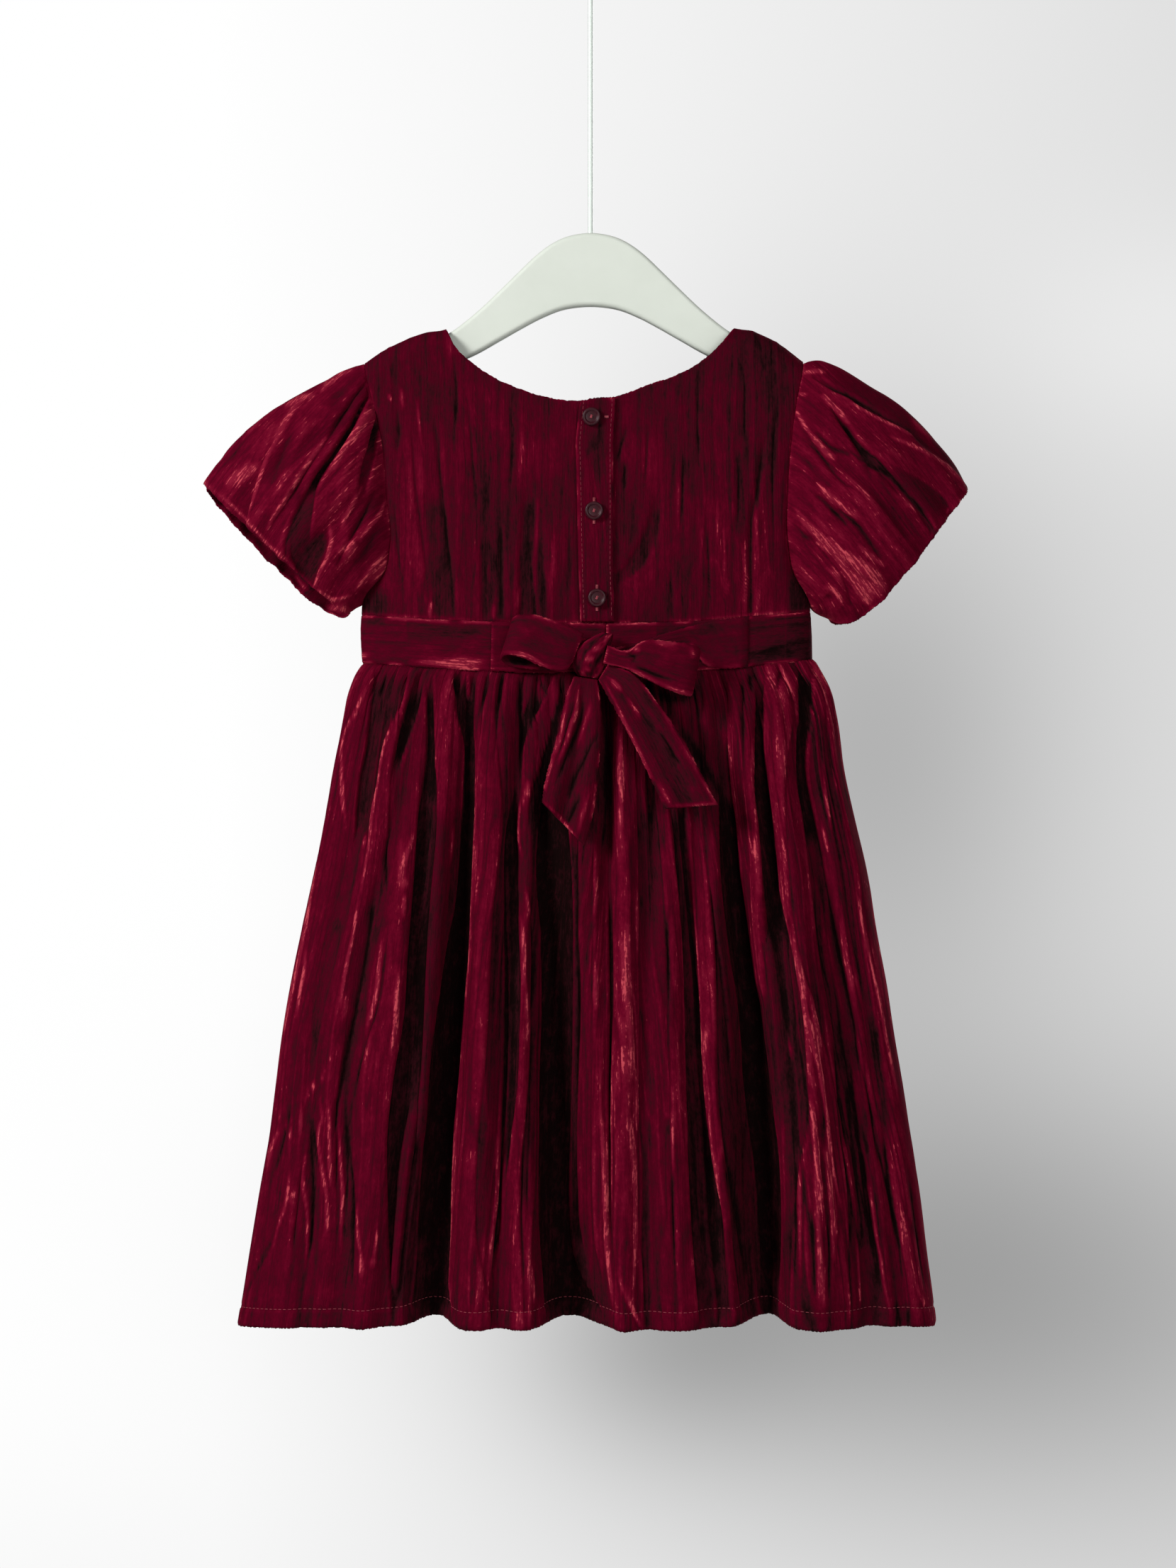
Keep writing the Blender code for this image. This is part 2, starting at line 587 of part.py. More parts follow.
def sleeve_ring(rows, folds, columns, shares):
    """A sleeve's rings from armhole to opening, closed round. Y is signed here: the back is minus."""
    turn = np.linspace(0, 2 * math.pi, columns + 1)
    degrees = np.degrees(turn)
    side = np.sign(rows[0]["top_x"])
    sheet = []
    for share in [0.0, *shares]:
        top_x, top_z, low_x, low_z = (
            along(rows, "share", n, share) for n in ("top_x", "top_z", "low_x", "low_z")
        )
        depth, back, front, lean = (
            along(rows, "share", n, share) for n in ("depth", "bow_back", "bow_front", "lean")
        )
        chord = np.array([low_x - top_x, low_z - top_z])
        length = np.linalg.norm(chord)
        chord = chord / length
        outward = np.array([-chord[1], chord[0]])
        outward = outward if outward[0] * np.sign(top_x) > 0 else -outward
        inward = np.zeros_like(turn)
        swell = 0.15 + 0.85 * min(1.0, share / 0.35)
        for row in folds:
            centre = row["start"] + (row["end"] - row["start"]) * share
            offset = (degrees - centre + 180) % 360 - 180
            inward += row["depth"] * swell * np.exp(-np.abs(offset / row["width"]) ** 2.2)
        fade = max(0.0, 1 - share / 0.45) * min(1.0, 0.25 + share / 0.06)
        gather = SLEEVE_GATHER_HEIGHT * fade * np.cos(turn * SLEEVE_GATHERS) * np.cos(turn / 2) ** 2
        radial = 1 - (inward - gather) / (depth + 4.0)
        half = np.sin(turn)
        y = -depth * np.sign(half) * np.abs(half) ** 0.85 * radial
        tuck = 0.35 * inward * np.abs(np.cos(turn)) * np.sign(np.cos(turn))
        along_chord = length / 2 * (1 - np.cos(turn)) + tuck
        bow = np.where(half > 0, back, front) * np.abs(half) ** 0.7 * (1 - lean * np.cos(turn))
        x = top_x + chord[0] * along_chord + outward[0] * bow
        z = top_z + chord[1] * along_chord + outward[1] * bow
        sheet.append(np.stack([x, y, z], -1))
    fit = armhole(side, turn) - sheet[0]
    fade = [(1 - min(1.0, share / ARMHOLE_BLEND)) ** 2 for share in shares]
    return np.array([ring + fit * f for ring, f in zip(sheet[1:], fade)])


def strip_points(rows, across, length, fold):
    """A strip of sash through its cross sections, with lengthwise folds of the given height."""
    key = [dict(row, at=i) for i, row in enumerate(rows)]
    at = np.linspace(0, len(rows) - 1, length)
    ax, az, bx, bz = (along(key, "at", n, at) for n in ("ax", "az", "bx", "bz"))
    out_a, out_b = (along(key, "at", n, at) for n in ("out_a", "out_b"))
    fold = fold * np.clip(at / 2, 0, 1) * np.clip(np.hypot(bx - ax, bz - az) / 20, 0, 1) ** 2
    sheet = []
    for u in np.linspace(0, 1, across):
        rise = fold * math.sin(u * 3 * math.pi) * max(0.0, math.sin(u * math.pi)) ** 0.5
        out = out_a + (out_b - out_a) * u + rise
        sheet.append(np.stack([ax + (bx - ax) * u, out, az + (bz - az) * u], -1))
    return np.array(sheet)


def tie_points(rows, across, length):
    """A sash tie, laid on the waistband."""
    x, gap, z = np.moveaxis(strip_points(rows, across, length, 0.0), -1, 0)
    return band_points(x, z, (WALL + TIE_WALL) / 2 + gap)


def closure_shares(z):
    """The shares across where the left back ends and the right back starts, at a height."""
    middle = float(across_at(np.array(CLOSURE_X), np.array(z)))
    split = SEAM / BODY_HALF * 2 / math.pi
    return middle - split, middle + split


# ---- Making objects ----

def material(name, colour, roughness, metallic=0.0, sheen=0.0):
    made = bpy.data.materials.new(name)
    made.use_nodes = True
    shader = made.node_tree.nodes["Principled BSDF"]
    shader.inputs["Base Color"].default_value = (*colour, 1)
    shader.inputs["Roughness"].default_value = roughness
    shader.inputs["Metallic"].default_value = metallic
    shader.inputs["Sheen Weight"].default_value = sheen
    return made


def add(name, mesh, finish, collection):
    made = bpy.data.objects.new(name, mesh)
    mesh.materials.append(finish)
    collection.objects.link(made)
    return made


def cloth(name, points, facing, finish, collection, wall=WALL, ring=False):
    """A shell of cloth on an even grid of points, thickened equally to both sides."""
    rows, columns = points.shape[:2]
    bm = bmesh.new()
    bmesh.ops.create_grid(bm, x_segments=columns - 1, y_segments=rows - 1, size=1)
    for vertex in bm.verts:
        column = round((vertex.co.x + 1) / 2 * (columns - 1))
        row = round((vertex.co.y + 1) / 2 * (rows - 1))
        x, y, z = points[row, column]
        vertex.co = (x * MM, facing * y * MM, z * MM)
    if ring:
        bmesh.ops.remove_doubles(bm, verts=bm.verts, dist=0.000001)
    bmesh.ops.recalc_face_normals(bm, faces=bm.faces)
    mesh = bpy.data.meshes.new(name)
    bm.to_mesh(mesh)
    bm.free()
    mesh.shade_smooth()
    made = add(name, mesh, finish, collection)
    shell = made.modifiers.new("wall", "SOLIDIFY")
    shell.thickness = wall * MM
    shell.offset = 0
    return made


def build_bodice(finish, collection):
    rows = [0, 0.012, 0.035, 0.07, 0.13, 0.22, 0.32, 0.43, 0.54, 0.65, 0.75, 0.84, 0.9, 0.945, 1]
    left_end, right_start = closure_shares(-370.0)
    left = bodice_panel(NECK_BACK, -1.0, left_end, 11, rows)
    right = bodice_panel(NECK_BACK, right_start, 1.0, 9, rows)
    front = bodice_panel(NECK_FRONT, -1.0, 1.0, 18, rows)
    cloth("bodice_back_left", left, -1, finish, collection)
    cloth("bodice_back_right", right, -1, finish, collection)
    cloth("bodice_front", front, 1, finish, collection)


def waistband_panel(first, last, count):
    sheet = []
    shares = np.linspace(first, last, count)
    x0, _depth = body_points(shares, np.full(count, (WAIST_TOP_Z + WAIST_SEAM_Z) / 2))
    for v in (0, 0.5, 1):
        top = along(WAISTBAND, "x", "top", x0)
        bottom = along(WAISTBAND, "x", "bottom", x0)
        z = top + (bottom - top) * v
        x, y = body_points(shares, z)
        sheet.append(np.stack([x, y, z], -1))
    return np.array(sheet)


def build_waistband(finish, collection):
    left_end, right_start = closure_shares(-450.0)
    cloth("waistband_back_left", waistband_panel(-1, left_end, 14), -1, finish, collection)
    cloth("waistband_back_right", waistband_panel(right_start, 1, 12), -1, finish, collection)
    cloth("waistband_front", waistband_panel(-1, 1, 20), 1, finish, collection)


def build_placket(finish, collection):
    lift = WALL / 2 + CLEAR + PLACKET_WALL / 2
    sheet = []
    for z in np.linspace(PLACKET[0]["z"], PLACKET[-1]["z"], 9):
        left = straight(PLACKET, "z", "left", z)
        right = straight(PLACKET, "z", "right", z)
        x = np.linspace(left, right, 4)
        sheet.append(band_points(x, np.full(4, z), lift))
    cloth("placket", np.array(sheet), -1, finish, collection, wall=PLACKET_WALL)
    return lift + PLACKET_WALL / 2


def build_buttons(surface, finish, collection):
    for row in BUTTONS:
        name = "button_" + row["name"]
        profile = [(p["radius"], p["height"]) for p in BUTTON_PROFILE]
        bm = bmesh.new()
        verts = [bm.verts.new((r * MM, 0, h * MM)) for r, h in profile]
        edges = [bm.edges.new(pair) for pair in zip(verts, verts[1:])]
        turned = {"axis": (0, 0, 1), "cent": (0, 0, 0), "angle": 2 * math.pi, "steps": 16}
        bmesh.ops.spin(bm, geom=verts + edges, use_merge=True, **turned)
        bmesh.ops.remove_doubles(bm, verts=bm.verts, dist=0.000002)
        bmesh.ops.recalc_face_normals(bm, faces=bm.faces)
        mesh = bpy.data.meshes.new(name)
        bm.to_mesh(mesh)
        bm.free()
        mesh.shade_smooth()
        mesh.set_sharp_from_angle(angle=math.radians(40))
        made = add(name, mesh, finish, collection)
        depth = float(band_points(np.array(row["x"]), np.array(row["z"]), surface)[1])
        made.location = (row["x"] * MM, -(depth + BUTTON_GAP) * MM, row["z"] * MM)
        made.rotation_euler = (math.pi / 2, 0, 0)


def build_sleeves(finish, collection):
    shares = [0, 0.04, 0.11, 0.24, 0.42, 0.62, 0.82, 0.93, 1]
    left = sleeve_ring(SLEEVE_LEFT, SLEEVE_FOLDS_LEFT, 40, shares)
    right = sleeve_ring(SLEEVE_RIGHT, SLEEVE_FOLDS_RIGHT, 40, shares)
    cloth("sleeve_left", left, 1, finish, collection, ring=True)
    cloth("sleeve_right", right, 1, finish, collection, ring=True)


def build_skirt(finish, collection):
    drops = [0, 7, 20, 46, 95, 175, 275, 381, 392]
    columns = GATHERS * COLUMNS_PER_GATHER + 1
    cloth("skirt_back", skirt_panel(BACK_FOLDS, columns, drops), -1, finish, collection)
    cloth("skirt_front", skirt_panel(FRONT_FOLDS, columns, drops), 1, finish, collection)


def build_bow(finish, collection):
    cloth("tie_left", tie_points(TIE_LEFT, 3, 11), -1, finish, collection, wall=TIE_WALL)
    cloth("tie_right", tie_points(TIE_RIGHT, 3, 15), -1, finish, collection, wall=TIE_WALL)
    strips = (
        ("bow_loop_left", LOOP_LEFT, 4, 19),
        ("bow_loop_right", LOOP_RIGHT, 4, 19),
        ("bow_tail_left", TAIL_LEFT, 9, 10),
        ("bow_tail_right", TAIL_RIGHT, 7, 8),
    )
    for name, rows, across, length in strips:
        sheet = strip_points(rows, across, length, STRIP_FOLD.get(name, 0.0))
        cloth(name, sheet, -1, finish, collection, wall=TIE_WALL)
    build_knot(finish, collection)


def build_knot(finish, collection):
    key = [dict(row, at=i) for i, row in enumerate(KNOT)]
    turn = np.linspace(0, 2 * math.pi, 25)[:-1]
    bm = bmesh.new()
    rings = []
    for at in np.linspace(0, len(KNOT) - 1, 9):
        names = ("x", "z", "half_width", "half_depth", "out")
        x, z, width, depth, out = (along(key, "at", n, at) for n in names)
        crease = 1 - KNOT_CREASE * (0.5 + 0.5 * np.cos(turn * KNOT_CREASES + at * 0.5))
        px = x + width * np.cos(turn) * crease
        py = -(out + depth * np.sin(turn) * crease)
        pz = z - KNOT_LEAN * width * np.cos(turn) * crease
        rings.append([bm.verts.new((a * MM, b * MM, c * MM)) for a, b, c in zip(px, py, pz)])
    for low, high in zip(rings, rings[1:]):
        for i in range(len(turn)):
            j = (i + 1) % len(turn)
            bm.faces.new((low[i], low[j], high[j], high[i]))
    bm.faces.new(rings[0][::-1])
    bm.faces.new(rings[-1])
    bmesh.ops.recalc_face_normals(bm, faces=bm.faces)
    mesh = bpy.data.meshes.new("bow_knot")
    bm.to_mesh(mesh)
    bm.free()
    mesh.shade_smooth()
    add("bow_knot", mesh, finish, collection)


def build_board(finish, collection, cutters):
    upper = [(row["x"], row["z"]) for row in BOARD_UPPER]
    lower = [(row["x"], row["z"]) for row in BOARD_LOWER]
    tip = [(row["x"], row["z"]) for row in BOARD_TIP]
    half = upper + tip + lower
    outline = half + [(-x, z) for x, z in reversed(half[1:-1])]
    bm = bmesh.new()
    y = -BOARD_THICK / 2 * MM
    face = bm.faces.new([bm.verts.new((x * MM, y, (BOARD_TOP_Z + z) * MM)) for x, z in outline])
    back = bmesh.ops.extrude_face_region(bm, geom=[face])
    moved = [item for item in back["geom"] if isinstance(item, bmesh.types.BMVert)]
    bmesh.ops.translate(bm, verts=moved, vec=(0, BOARD_THICK * MM, 0))
    bmesh.ops.recalc_face_normals(bm, faces=bm.faces)
    mesh = bpy.data.meshes.new("hanger_board")
    bm.to_mesh(mesh)
    bm.free()
    made = add("hanger_board", mesh, finish, collection)
    rounding = made.modifiers.new("rounded edges", "BEVEL")
    rounding.width = BOARD_ROUNDING * MM
    rounding.segments = 2
    rounding.limit_method = "ANGLE"
    rounding.angle_limit = math.radians(60)
    bm = bmesh.new()
    bore = (ROD_RADIUS + CLEAR) * MM
    length = 2 * ROD_SOCKET * MM
    bmesh.ops.create_cone(bm, cap_ends=True, segments=16, radius1=bore, radius2=bore, depth=length)
    cutter_mesh = bpy.data.meshes.new("rod_socket")
    bm.to_mesh(cutter_mesh)
    bm.free()
    cutter = bpy.data.objects.new("rod_socket", cutter_mesh)
    cutters.objects.link(cutter)
    cutter.location = (0, 0, (BOARD_TOP_Z - CLEAR) * MM)
    cutter.hide_render = True
    cutter.display_type = "WIRE"
    socket = made.modifiers.new("rod socket", "BOOLEAN")
    socket.operation = "DIFFERENCE"
    socket.object = cutter


def build_rod(finish, collection):
    """The rod rises from the board, bends aside and over into the hook."""
    radius = HOOK_RADIUS + ROD_RADIUS
    centre_z = ROD_RADIUS - radius
    points = [(0.0, BOARD_TOP_Z - ROD_SOCKET)]
    points += [(row["x"], centre_z - radius + row["z"]) for row in ROD_BEND]
    for degrees in np.linspace(HOOK_START, HOOK_END, 17):
        angle = math.radians(degrees)
        points.append((radius * math.cos(angle), centre_z + radius * math.sin(angle)))
    curve = bpy.data.curves.new("hanger_rod", "CURVE")
    curve.dimensions = "3D"
    curve.bevel_depth = ROD_RADIUS * MM
    curve.bevel_resolution = 2
    curve.use_fill_caps = True
    spline = curve.splines.new("POLY")
    spline.points.add(len(points) - 1)
    for point, (x, z) in zip(spline.points, points):
        point.co = (x * MM, 0, z * MM, 1)
    add("hanger_rod", curve, finish, collection)


def main():
    for old in list(bpy.data.objects):
        bpy.data.objects.remove(old)
    dress = bpy.data.collections.new("toddler_party_dress")
    cutters = bpy.data.collections.new("cutters")
    bpy.context.scene.collection.children.link(dress)
    bpy.context.scene.collection.children.link(cutters)
    velvet = material("crushed_velvet", VELVET, 0.75, sheen=0.6)
    button = material("button_plastic", VELVET_DARK, 0.4)
    sage = material("sage_paint", SAGE, 0.55)
    steel = material("rod_steel", STEEL, 0.35, metallic=0.8)
    build_bodice(velvet, dress)
    surface = build_placket(velvet, dress)
    build_buttons(surface, button, dress)
    build_waistband(velvet, dress)
    build_skirt(velvet, dress)
    build_sleeves(velvet, dress)
    build_bow(velvet, dress)
    build_board(sage, dress, cutters)
    build_rod(steel, dress)


main()
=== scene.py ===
"""Looks for the toddler party dress: crushed velvet, its sewing, buttons and a painted hanger.

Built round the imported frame: metres, +Z up, the hang point at the origin, the dress's back towards
-Y. Sizes in the tables are millimetres, and the cloth follows the same tables as the CAD solids.
"""

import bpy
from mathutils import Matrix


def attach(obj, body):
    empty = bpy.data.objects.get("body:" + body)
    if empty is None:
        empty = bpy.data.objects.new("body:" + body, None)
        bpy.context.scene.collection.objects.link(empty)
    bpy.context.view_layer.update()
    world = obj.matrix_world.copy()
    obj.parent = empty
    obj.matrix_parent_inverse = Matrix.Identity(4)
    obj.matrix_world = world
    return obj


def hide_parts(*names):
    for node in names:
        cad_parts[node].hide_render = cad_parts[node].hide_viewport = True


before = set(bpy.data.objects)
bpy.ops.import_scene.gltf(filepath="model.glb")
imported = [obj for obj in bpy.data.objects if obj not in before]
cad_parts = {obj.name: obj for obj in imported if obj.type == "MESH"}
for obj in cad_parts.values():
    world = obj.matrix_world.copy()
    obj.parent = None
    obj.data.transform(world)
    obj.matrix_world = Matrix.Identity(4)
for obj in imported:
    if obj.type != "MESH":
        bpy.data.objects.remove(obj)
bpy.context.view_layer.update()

import math

import bmesh
import bpy
import numpy as np
from mathutils import Vector

MM = 0.001

# Cloth
WALL = 1.3  # one layer of velvet
TIE_WALL = 1.8  # a sash tie, two layers pressed flat
PLACKET_WALL = 2.2  # the button band, two layers and their turnings
SEAM_GAP = 0.05  # between two pieces at a seam
CLEAR = 0.35  # gap between a piece and what it lies on
FLAT = 0.62  # how flat the body's oval is: 1 is an ellipse, less is flatter
BODY_HALF = 126.0  # nominal half width of the body
NECK_LEFT_X, NECK_RIGHT_X, NECK_POINT_Z = -85.5, 85.0, -262.0  # where neckline and shoulder meet
CLOSURE_X = 9.2  # where the left and right backs meet behind the placket

# Skirt
WAIST_TOP_Z = -433.0  # the waistband's top and bottom edges at the side seams, about
WAIST_SEAM_Z = -459.5
SKIRT_DROP = 392.0
HEM_LIFT = 0.26  # a fold's hem rises by this share of the fold's depth

# Hanger
BOARD_TOP_Z = -204.8
BOARD_THICK = 10.6
BOARD_ROUNDING = 2.6
ROD_RADIUS = 1.5
ROD_SOCKET = 14.0  # how deep the rod goes into the board
HOOK_RADIUS = 18.0  # inside of the hook
HOOK_START, HOOK_END = -46.0, 200.0  # degrees round the hook from +X, where it starts and ends

BUTTON_GAP = 0.7  # from the placket to a button


def named(columns, rows):
    """A list of rows, each a dict of its named columns."""
    return [dict(zip(columns.split(), row)) for row in rows]


def number(word):
    """The word's number, or a word that is none as it is."""
    try:
        return float(word)
    except ValueError:
        return word


def table(text):
    """The text's rows under its first line, which names the columns."""
    columns, *rows = text.strip().splitlines()
    return named(columns, ([number(word) for word in row.split()] for row in rows))


# The body from shoulder to waist seam: side edges, and how deep the cloth stands at its middle
# and at the armhole's edge. Below the underarm, the side edges are the side seams.
BODICE = table("""
    z    left   right middle edge
    -255 -133.5 125.5 12     12
    -282 -133.2 125.3 14     12
    -308 -127.2 120.5 17     14
    -333 -121.8 117.2 19     15
    -360 -119.6 115.4 20     15
    -389 -117.4 115.4 20.5   13
    -408 -122   119.5 20.5   8
    -421 -133.6 128.6 20.5   0.6
    -431 -135   129.7 20.5   0
    -470 -134   131   21     0
""")

# The shoulder's ridge across, and how it would run on over the neck.
SHOULDER = table("""
    x      z
    -134   -282.6
    -124.5 -275.8
    -113.8 -270.1
    -97    -263.6
    -85.5  -261.6
    -60    -236
    0      -215
    60     -236
    85     -261.2
    94     -262.6
    103.7  -266.2
    113    -271.6
    126    -281.6
""")
SHOULDER_ROUND = 12.0  # drop over which the cloth turns from the ridge to the back
NECK_CORNER = 3.0  # the neck edge turns this fast from the ridge to the front and back

NECK_BACK = table("""
    x     z
    -85.5 -261.6
    -80.1 -272.8
    -71   -282
    -59.7 -290.3
    -45.9 -297
    -30.9 -302.4
    -15   -305.6
    0     -305.4
    15.4  -303.2
    33.8  -296.3
    48.8  -291.2
    67.6  -280.4
    77    -271.5
    85    -261.2
""")
NECK_FRONT = table("""
    x     z
    -85.5 -261.6
    -79   -278
    -67   -292
    -50   -304
    -28   -312
    0     -315
    28    -312
    50    -304
    67    -292
    78.5  -278
    85    -261.2
""")

WAISTBAND = table("""
    x    top    bottom
    -136 -431   -459.2
    -100 -433.6 -462.2
    -60  -435.4 -464.6
    0    -436.2 -465.4
    60   -435.2 -464
    100  -431.8 -461
    132  -429   -457.4
""")

# The skirt by drop below the waist seam: side seams, and how deep its back and front stand.
SKIRT = table("""
    drop left   right depth
    0    -133.9 131.6 21.5
    6    -137.5 134.6 22.6
    16   -141.8 139.8 24.5
    34   -145.8 144.6 27
    62   -151.4 148.6 30
    94   -156.9 155.6 33
    122  -162.3 162.2 35.5
    158  -170.3 168   38.5
    192  -177.2 174.6 41
    225  -182.7 180   43
    248  -185.4 184   44.5
    280  -189.6 189   46
    312  -195.2 193.8 47
    346  -200.8 198   48
    380  -206.2 202.2 48.5
    392  -208.2 203.4 48.5
""")

# The large folds, each a valley (or a ridge, with a minus depth) that runs from the waist to the
# hem: its place across at the top, the middle and the hem, its depth there, and how wide its
# left and right flanks are at the top and at the hem.
BACK_FOLDS = table("""
    top    mid    hem  dtop dmid dhem ltop rtop lhem rhem
    -125   -157   -165 1.5  3    3    7    7    9    9
    -104.6 -135.2 -147 2.5  5    4    7    7    9    9
    -94    -102   -119 3.5  7    6    7    7    10   10
    -72    -78.5  -90  6    22   27   8    7    16   10
    -40.5  -48.8  -53  5    8    5    7    7    8    8
    -27    -24    -13  5    22   27   7    8    15   20
    9      11     11   6    4    2    6    4.5  7    6
    18.5   20.5   17   -3   -4   -3   5    5    6    7
    40     30     34   3    3    3    7    7    8    8
    62     60.5   72   5    9    6    8    8    10   9
    78     94     104  6    21   27   8    8    17   9.5
    101    114    112  4    5    3    7    6    9    8
    108    124.5  134  -2   -4.5 -3   5    6    7    8
    124    146    165  3    6    6    7    7    9    9
    136    161    183  1    3.5  3.5  5    5    7    7
""")
FRONT_FOLDS = table("""
    top  mid  hem  dtop dmid dhem ltop rtop lhem rhem
    -118 -144 -158 2    5    6    7    7    9    9
    -98  -112 -124 4    13   17   8    8    12   17
    -76  -80  -84  4    7    5    7    7    9    9
    -52  -50  -46  6    15   19   8    8    14   18
    -24  -20  -16  4    6    4    7    7    8    8
    2    6    12   5    9    8    7    7    10   9
    28   36   44   6    15   19   8    8    18   13
    52   62   72   4    6    5    7    7    8    9
    74   88   100  5    9    7    7    7    9    9
    98   118  132  6    13   16   8    7    17   12
    122  146  164  2    5    6    7    7    9    9
""")

# Each sleeve from armhole to opening: its top and underarm edges, its depth in Y, and how far the
# opening bows out from the straight line between those edges, on the back and on the front.
SLEEVE_LEFT = table("""
    share top_x  top_z  low_x  low_z  depth bow_back bow_front lean
    0     -134.2 -283.2 -136.6 -422.4 12.6  -14.5    -14.5     0
    0.08  -141   -285.2 -137.2 -424   20    -12      -12       0
    0.22  -154   -291.4 -138   -425.4 27    -7.5     -6        0
    0.42  -174.5 -302   -139.4 -426.6 31    -2.5     1         0.1
    0.62  -193.5 -314.4 -140.6 -427.6 31    0.5      5         0.2
    0.8   -210.6 -329.6 -141.8 -428.4 28    1.5      7.2       0.35
    0.92  -221.6 -343.6 -142.6 -429   24.5  2.2      8.6       0.4
    1     -228   -353.6 -143   -429.4 21.5  2.5      9.2       0.4
""")
SLEEVE_RIGHT = table("""
    share top_x top_z  low_x low_z  depth bow_back bow_front lean
    0     126.3 -282   131.6 -424.4 12.6  -11.5    -11.5     0
    0.08  133   -280.4 132.4 -426.6 20    -9.5     -9.5      0.1
    0.22  145   -283.6 133.6 -428.6 27    -4.5     -5        0.3
    0.42  165.5 -295.6 135.4 -430.2 31    1        0.5       0.6
    0.62  185.5 -308.6 137.4 -431   31    5.5      4.5       0.8
    0.8   203.4 -327   139.4 -431.4 28    8.5      7.5       0.8
    0.92  216.6 -342.8 140.8 -431.6 24.5  10       9         0.8
    1     224   -355   141.6 -431.6 21.5  10.6     9.6       0.8
""")
# Folds that run along a sleeve, by the turn round it from the top edge: 0 top, 90 the middle of
# the back, 180 underarm, 270 the middle of the front. Depth is least at the armhole.
SLEEVE_FOLDS_LEFT = table("""
    start end depth width
    28    20  2     9
    58    62  4.2   10
    80    86  3.2   8
    100   116 4.4   10
    126   146 3.4   10
    210   204 2.4   11
    238   236 4     11
    266   270 3.4   10
    296   304 4     11
    330   338 2.4   10
""")
SLEEVE_FOLDS_RIGHT = table("""
    start end depth width
    24    22  2.4   9
    52    50  3.8   9
    72    80  4.4   10
    96    110 3.2   9
    118   138 4.2   11
    214   208 2.4   11
    240   242 4     11
    270   276 3.4   10
    300   306 4     11
    334   340 2.4   10
""")
ARMHOLE_TOP_Z = -283.2
ARMHOLE_LOW_Z = -424.0
ARMHOLE_GAP = 0.5  # from the bodice's edge to the sleeve's
UNDERARM_GAP = 0.3  # and this much more under the arm, where the sleeve leaves square to the body
ARMHOLE_BLEND = 0.35  # share of the sleeve over which the armhole's shape fades out
SLEEVE_GATHERS = 12  # small gathers round the sleeve's head
SLEEVE_GATHER_HEIGHT = 0.9

# Strips of sash, each a row of cross sections: upper (or left) edge, lower (or right) edge. A tie
# lies on the waistband, so its rows give the gap between them at each edge.
TIE_LEFT = table("""
    ax   az     bx    bz     out_a out_b
    -58  -435.6 -58.6 -464.2 0.35  0.35
    -44  -436.2 -44   -465   0.5   0.5
    -28  -437.4 -28   -465.4 0.6   0.6
    -16  -440   -16   -464.6 0.5   0.5
    -7.4 -444.4 -7.4  -460.6 0.4   0.4
    -2   -446.4 -2.6  -458.8 0.35  0.35
""")
TIE_RIGHT = table("""
    ax   az     bx   bz     out_a out_b
    93   -432.6 92.6 -462   0.35  0.35
    81.4 -434   80.6 -463   0.45  0.45
    68   -436.2 68   -461   0.7   0.7
    58.1 -438.8 58.6 -452   1.1   1.1
    43.6 -442.8 44   -451.6 1.3   1.3
    29   -448   28.6 -456   1.1   1.1
    13.4 -451.6 13   -461.4 0.7   0.7
    3.6  -452.4 3    -461   0.35  0.35
""")
# A loop or tail stands free of the dress: its rows give how far its middle layer stands out from
# the body's middle plane at each edge.
LOOP_LEFT = table("""
    ax    az     bx    bz     out_a out_b
    -4    -443.6 -10.8 -459.8 34.2  34
    -13   -438.6 -16   -465   35    36.6
    -22.6 -435.4 -28   -462.4 35    38
    -32.4 -432.6 -38.8 -457.4 34.6  38.4
    -40.6 -432.4 -47   -455.4 33.6  37
    -44.4 -433.4 -51.4 -456.4 31.2  33
    -43.8 -434.6 -51.6 -458.8 28.8  29.4
    -39   -435.8 -46.4 -461.8 27.2  27.2
    -28   -438   -32   -463.6 26.8  26.8
    -14.6 -442   -16.4 -464   26.8  26.8
    -4.4  -446   -11.3 -459.6 26.2  26.2
""")
LOOP_RIGHT = table("""
    ax   az     bx   bz     out_a out_b
    9.8  -450.4 7.4  -460.2 35.6  35.6
    21   -453.4 20.8 -463.8 37.6  37.8
    31.4 -447.6 29.4 -468   39    39.6
    44   -448   41.6 -474.2 39.4  40
    56   -449.4 52.6 -478.4 38.6  39.2
    62.6 -451.6 57.6 -479.4 36.4  36.8
    63.6 -453.4 58.6 -478.6 33.2  33.4
    59.4 -454.2 55   -476.8 30.8  31.2
    46   -454   43   -472.6 29.2  30.2
    30   -454.4 28   -468   28.2  29.4
    10.6 -454.6 10.2 -462.4 27.2  27.4
""")
TAIL_LEFT = table("""
    ax    az     bx   bz     out_a out_b
    -9.4  -467.9 3.8  -470.1 30.6  31
    -13.4 -478   5.4  -482   35    36.6
    -16.4 -490   6    -497   37.6  38.6
    -20   -506   4.9  -515   39.6  40.4
    -23.8 -520   3.4  -531.5 41    41.8
    -26.6 -531.6 1.4  -547   42.2  43
    -28   -541.8 -3.4 -567   43.2  44
""")
TAIL_RIGHT = table("""
    ax   az     bx   bz     out_a out_b
    4.8  -469.9 10.2 -460.8 31.2  31.4
    9.6  -478.6 25.4 -467.6 38.6  38.6
    17   -491.8 39.2 -484.3 41.6  41.6
    27.4 -511.9 53   -504.1 43.2  43.2
    36   -529.4 62.4 -522   44    44
    43.7 -545.4 73.6 -543   44.8  44.8
""")
STRIP_FOLD = {"bow_tail_left": 2.2, "bow_tail_right": 1.0}  # lengthwise folds' height

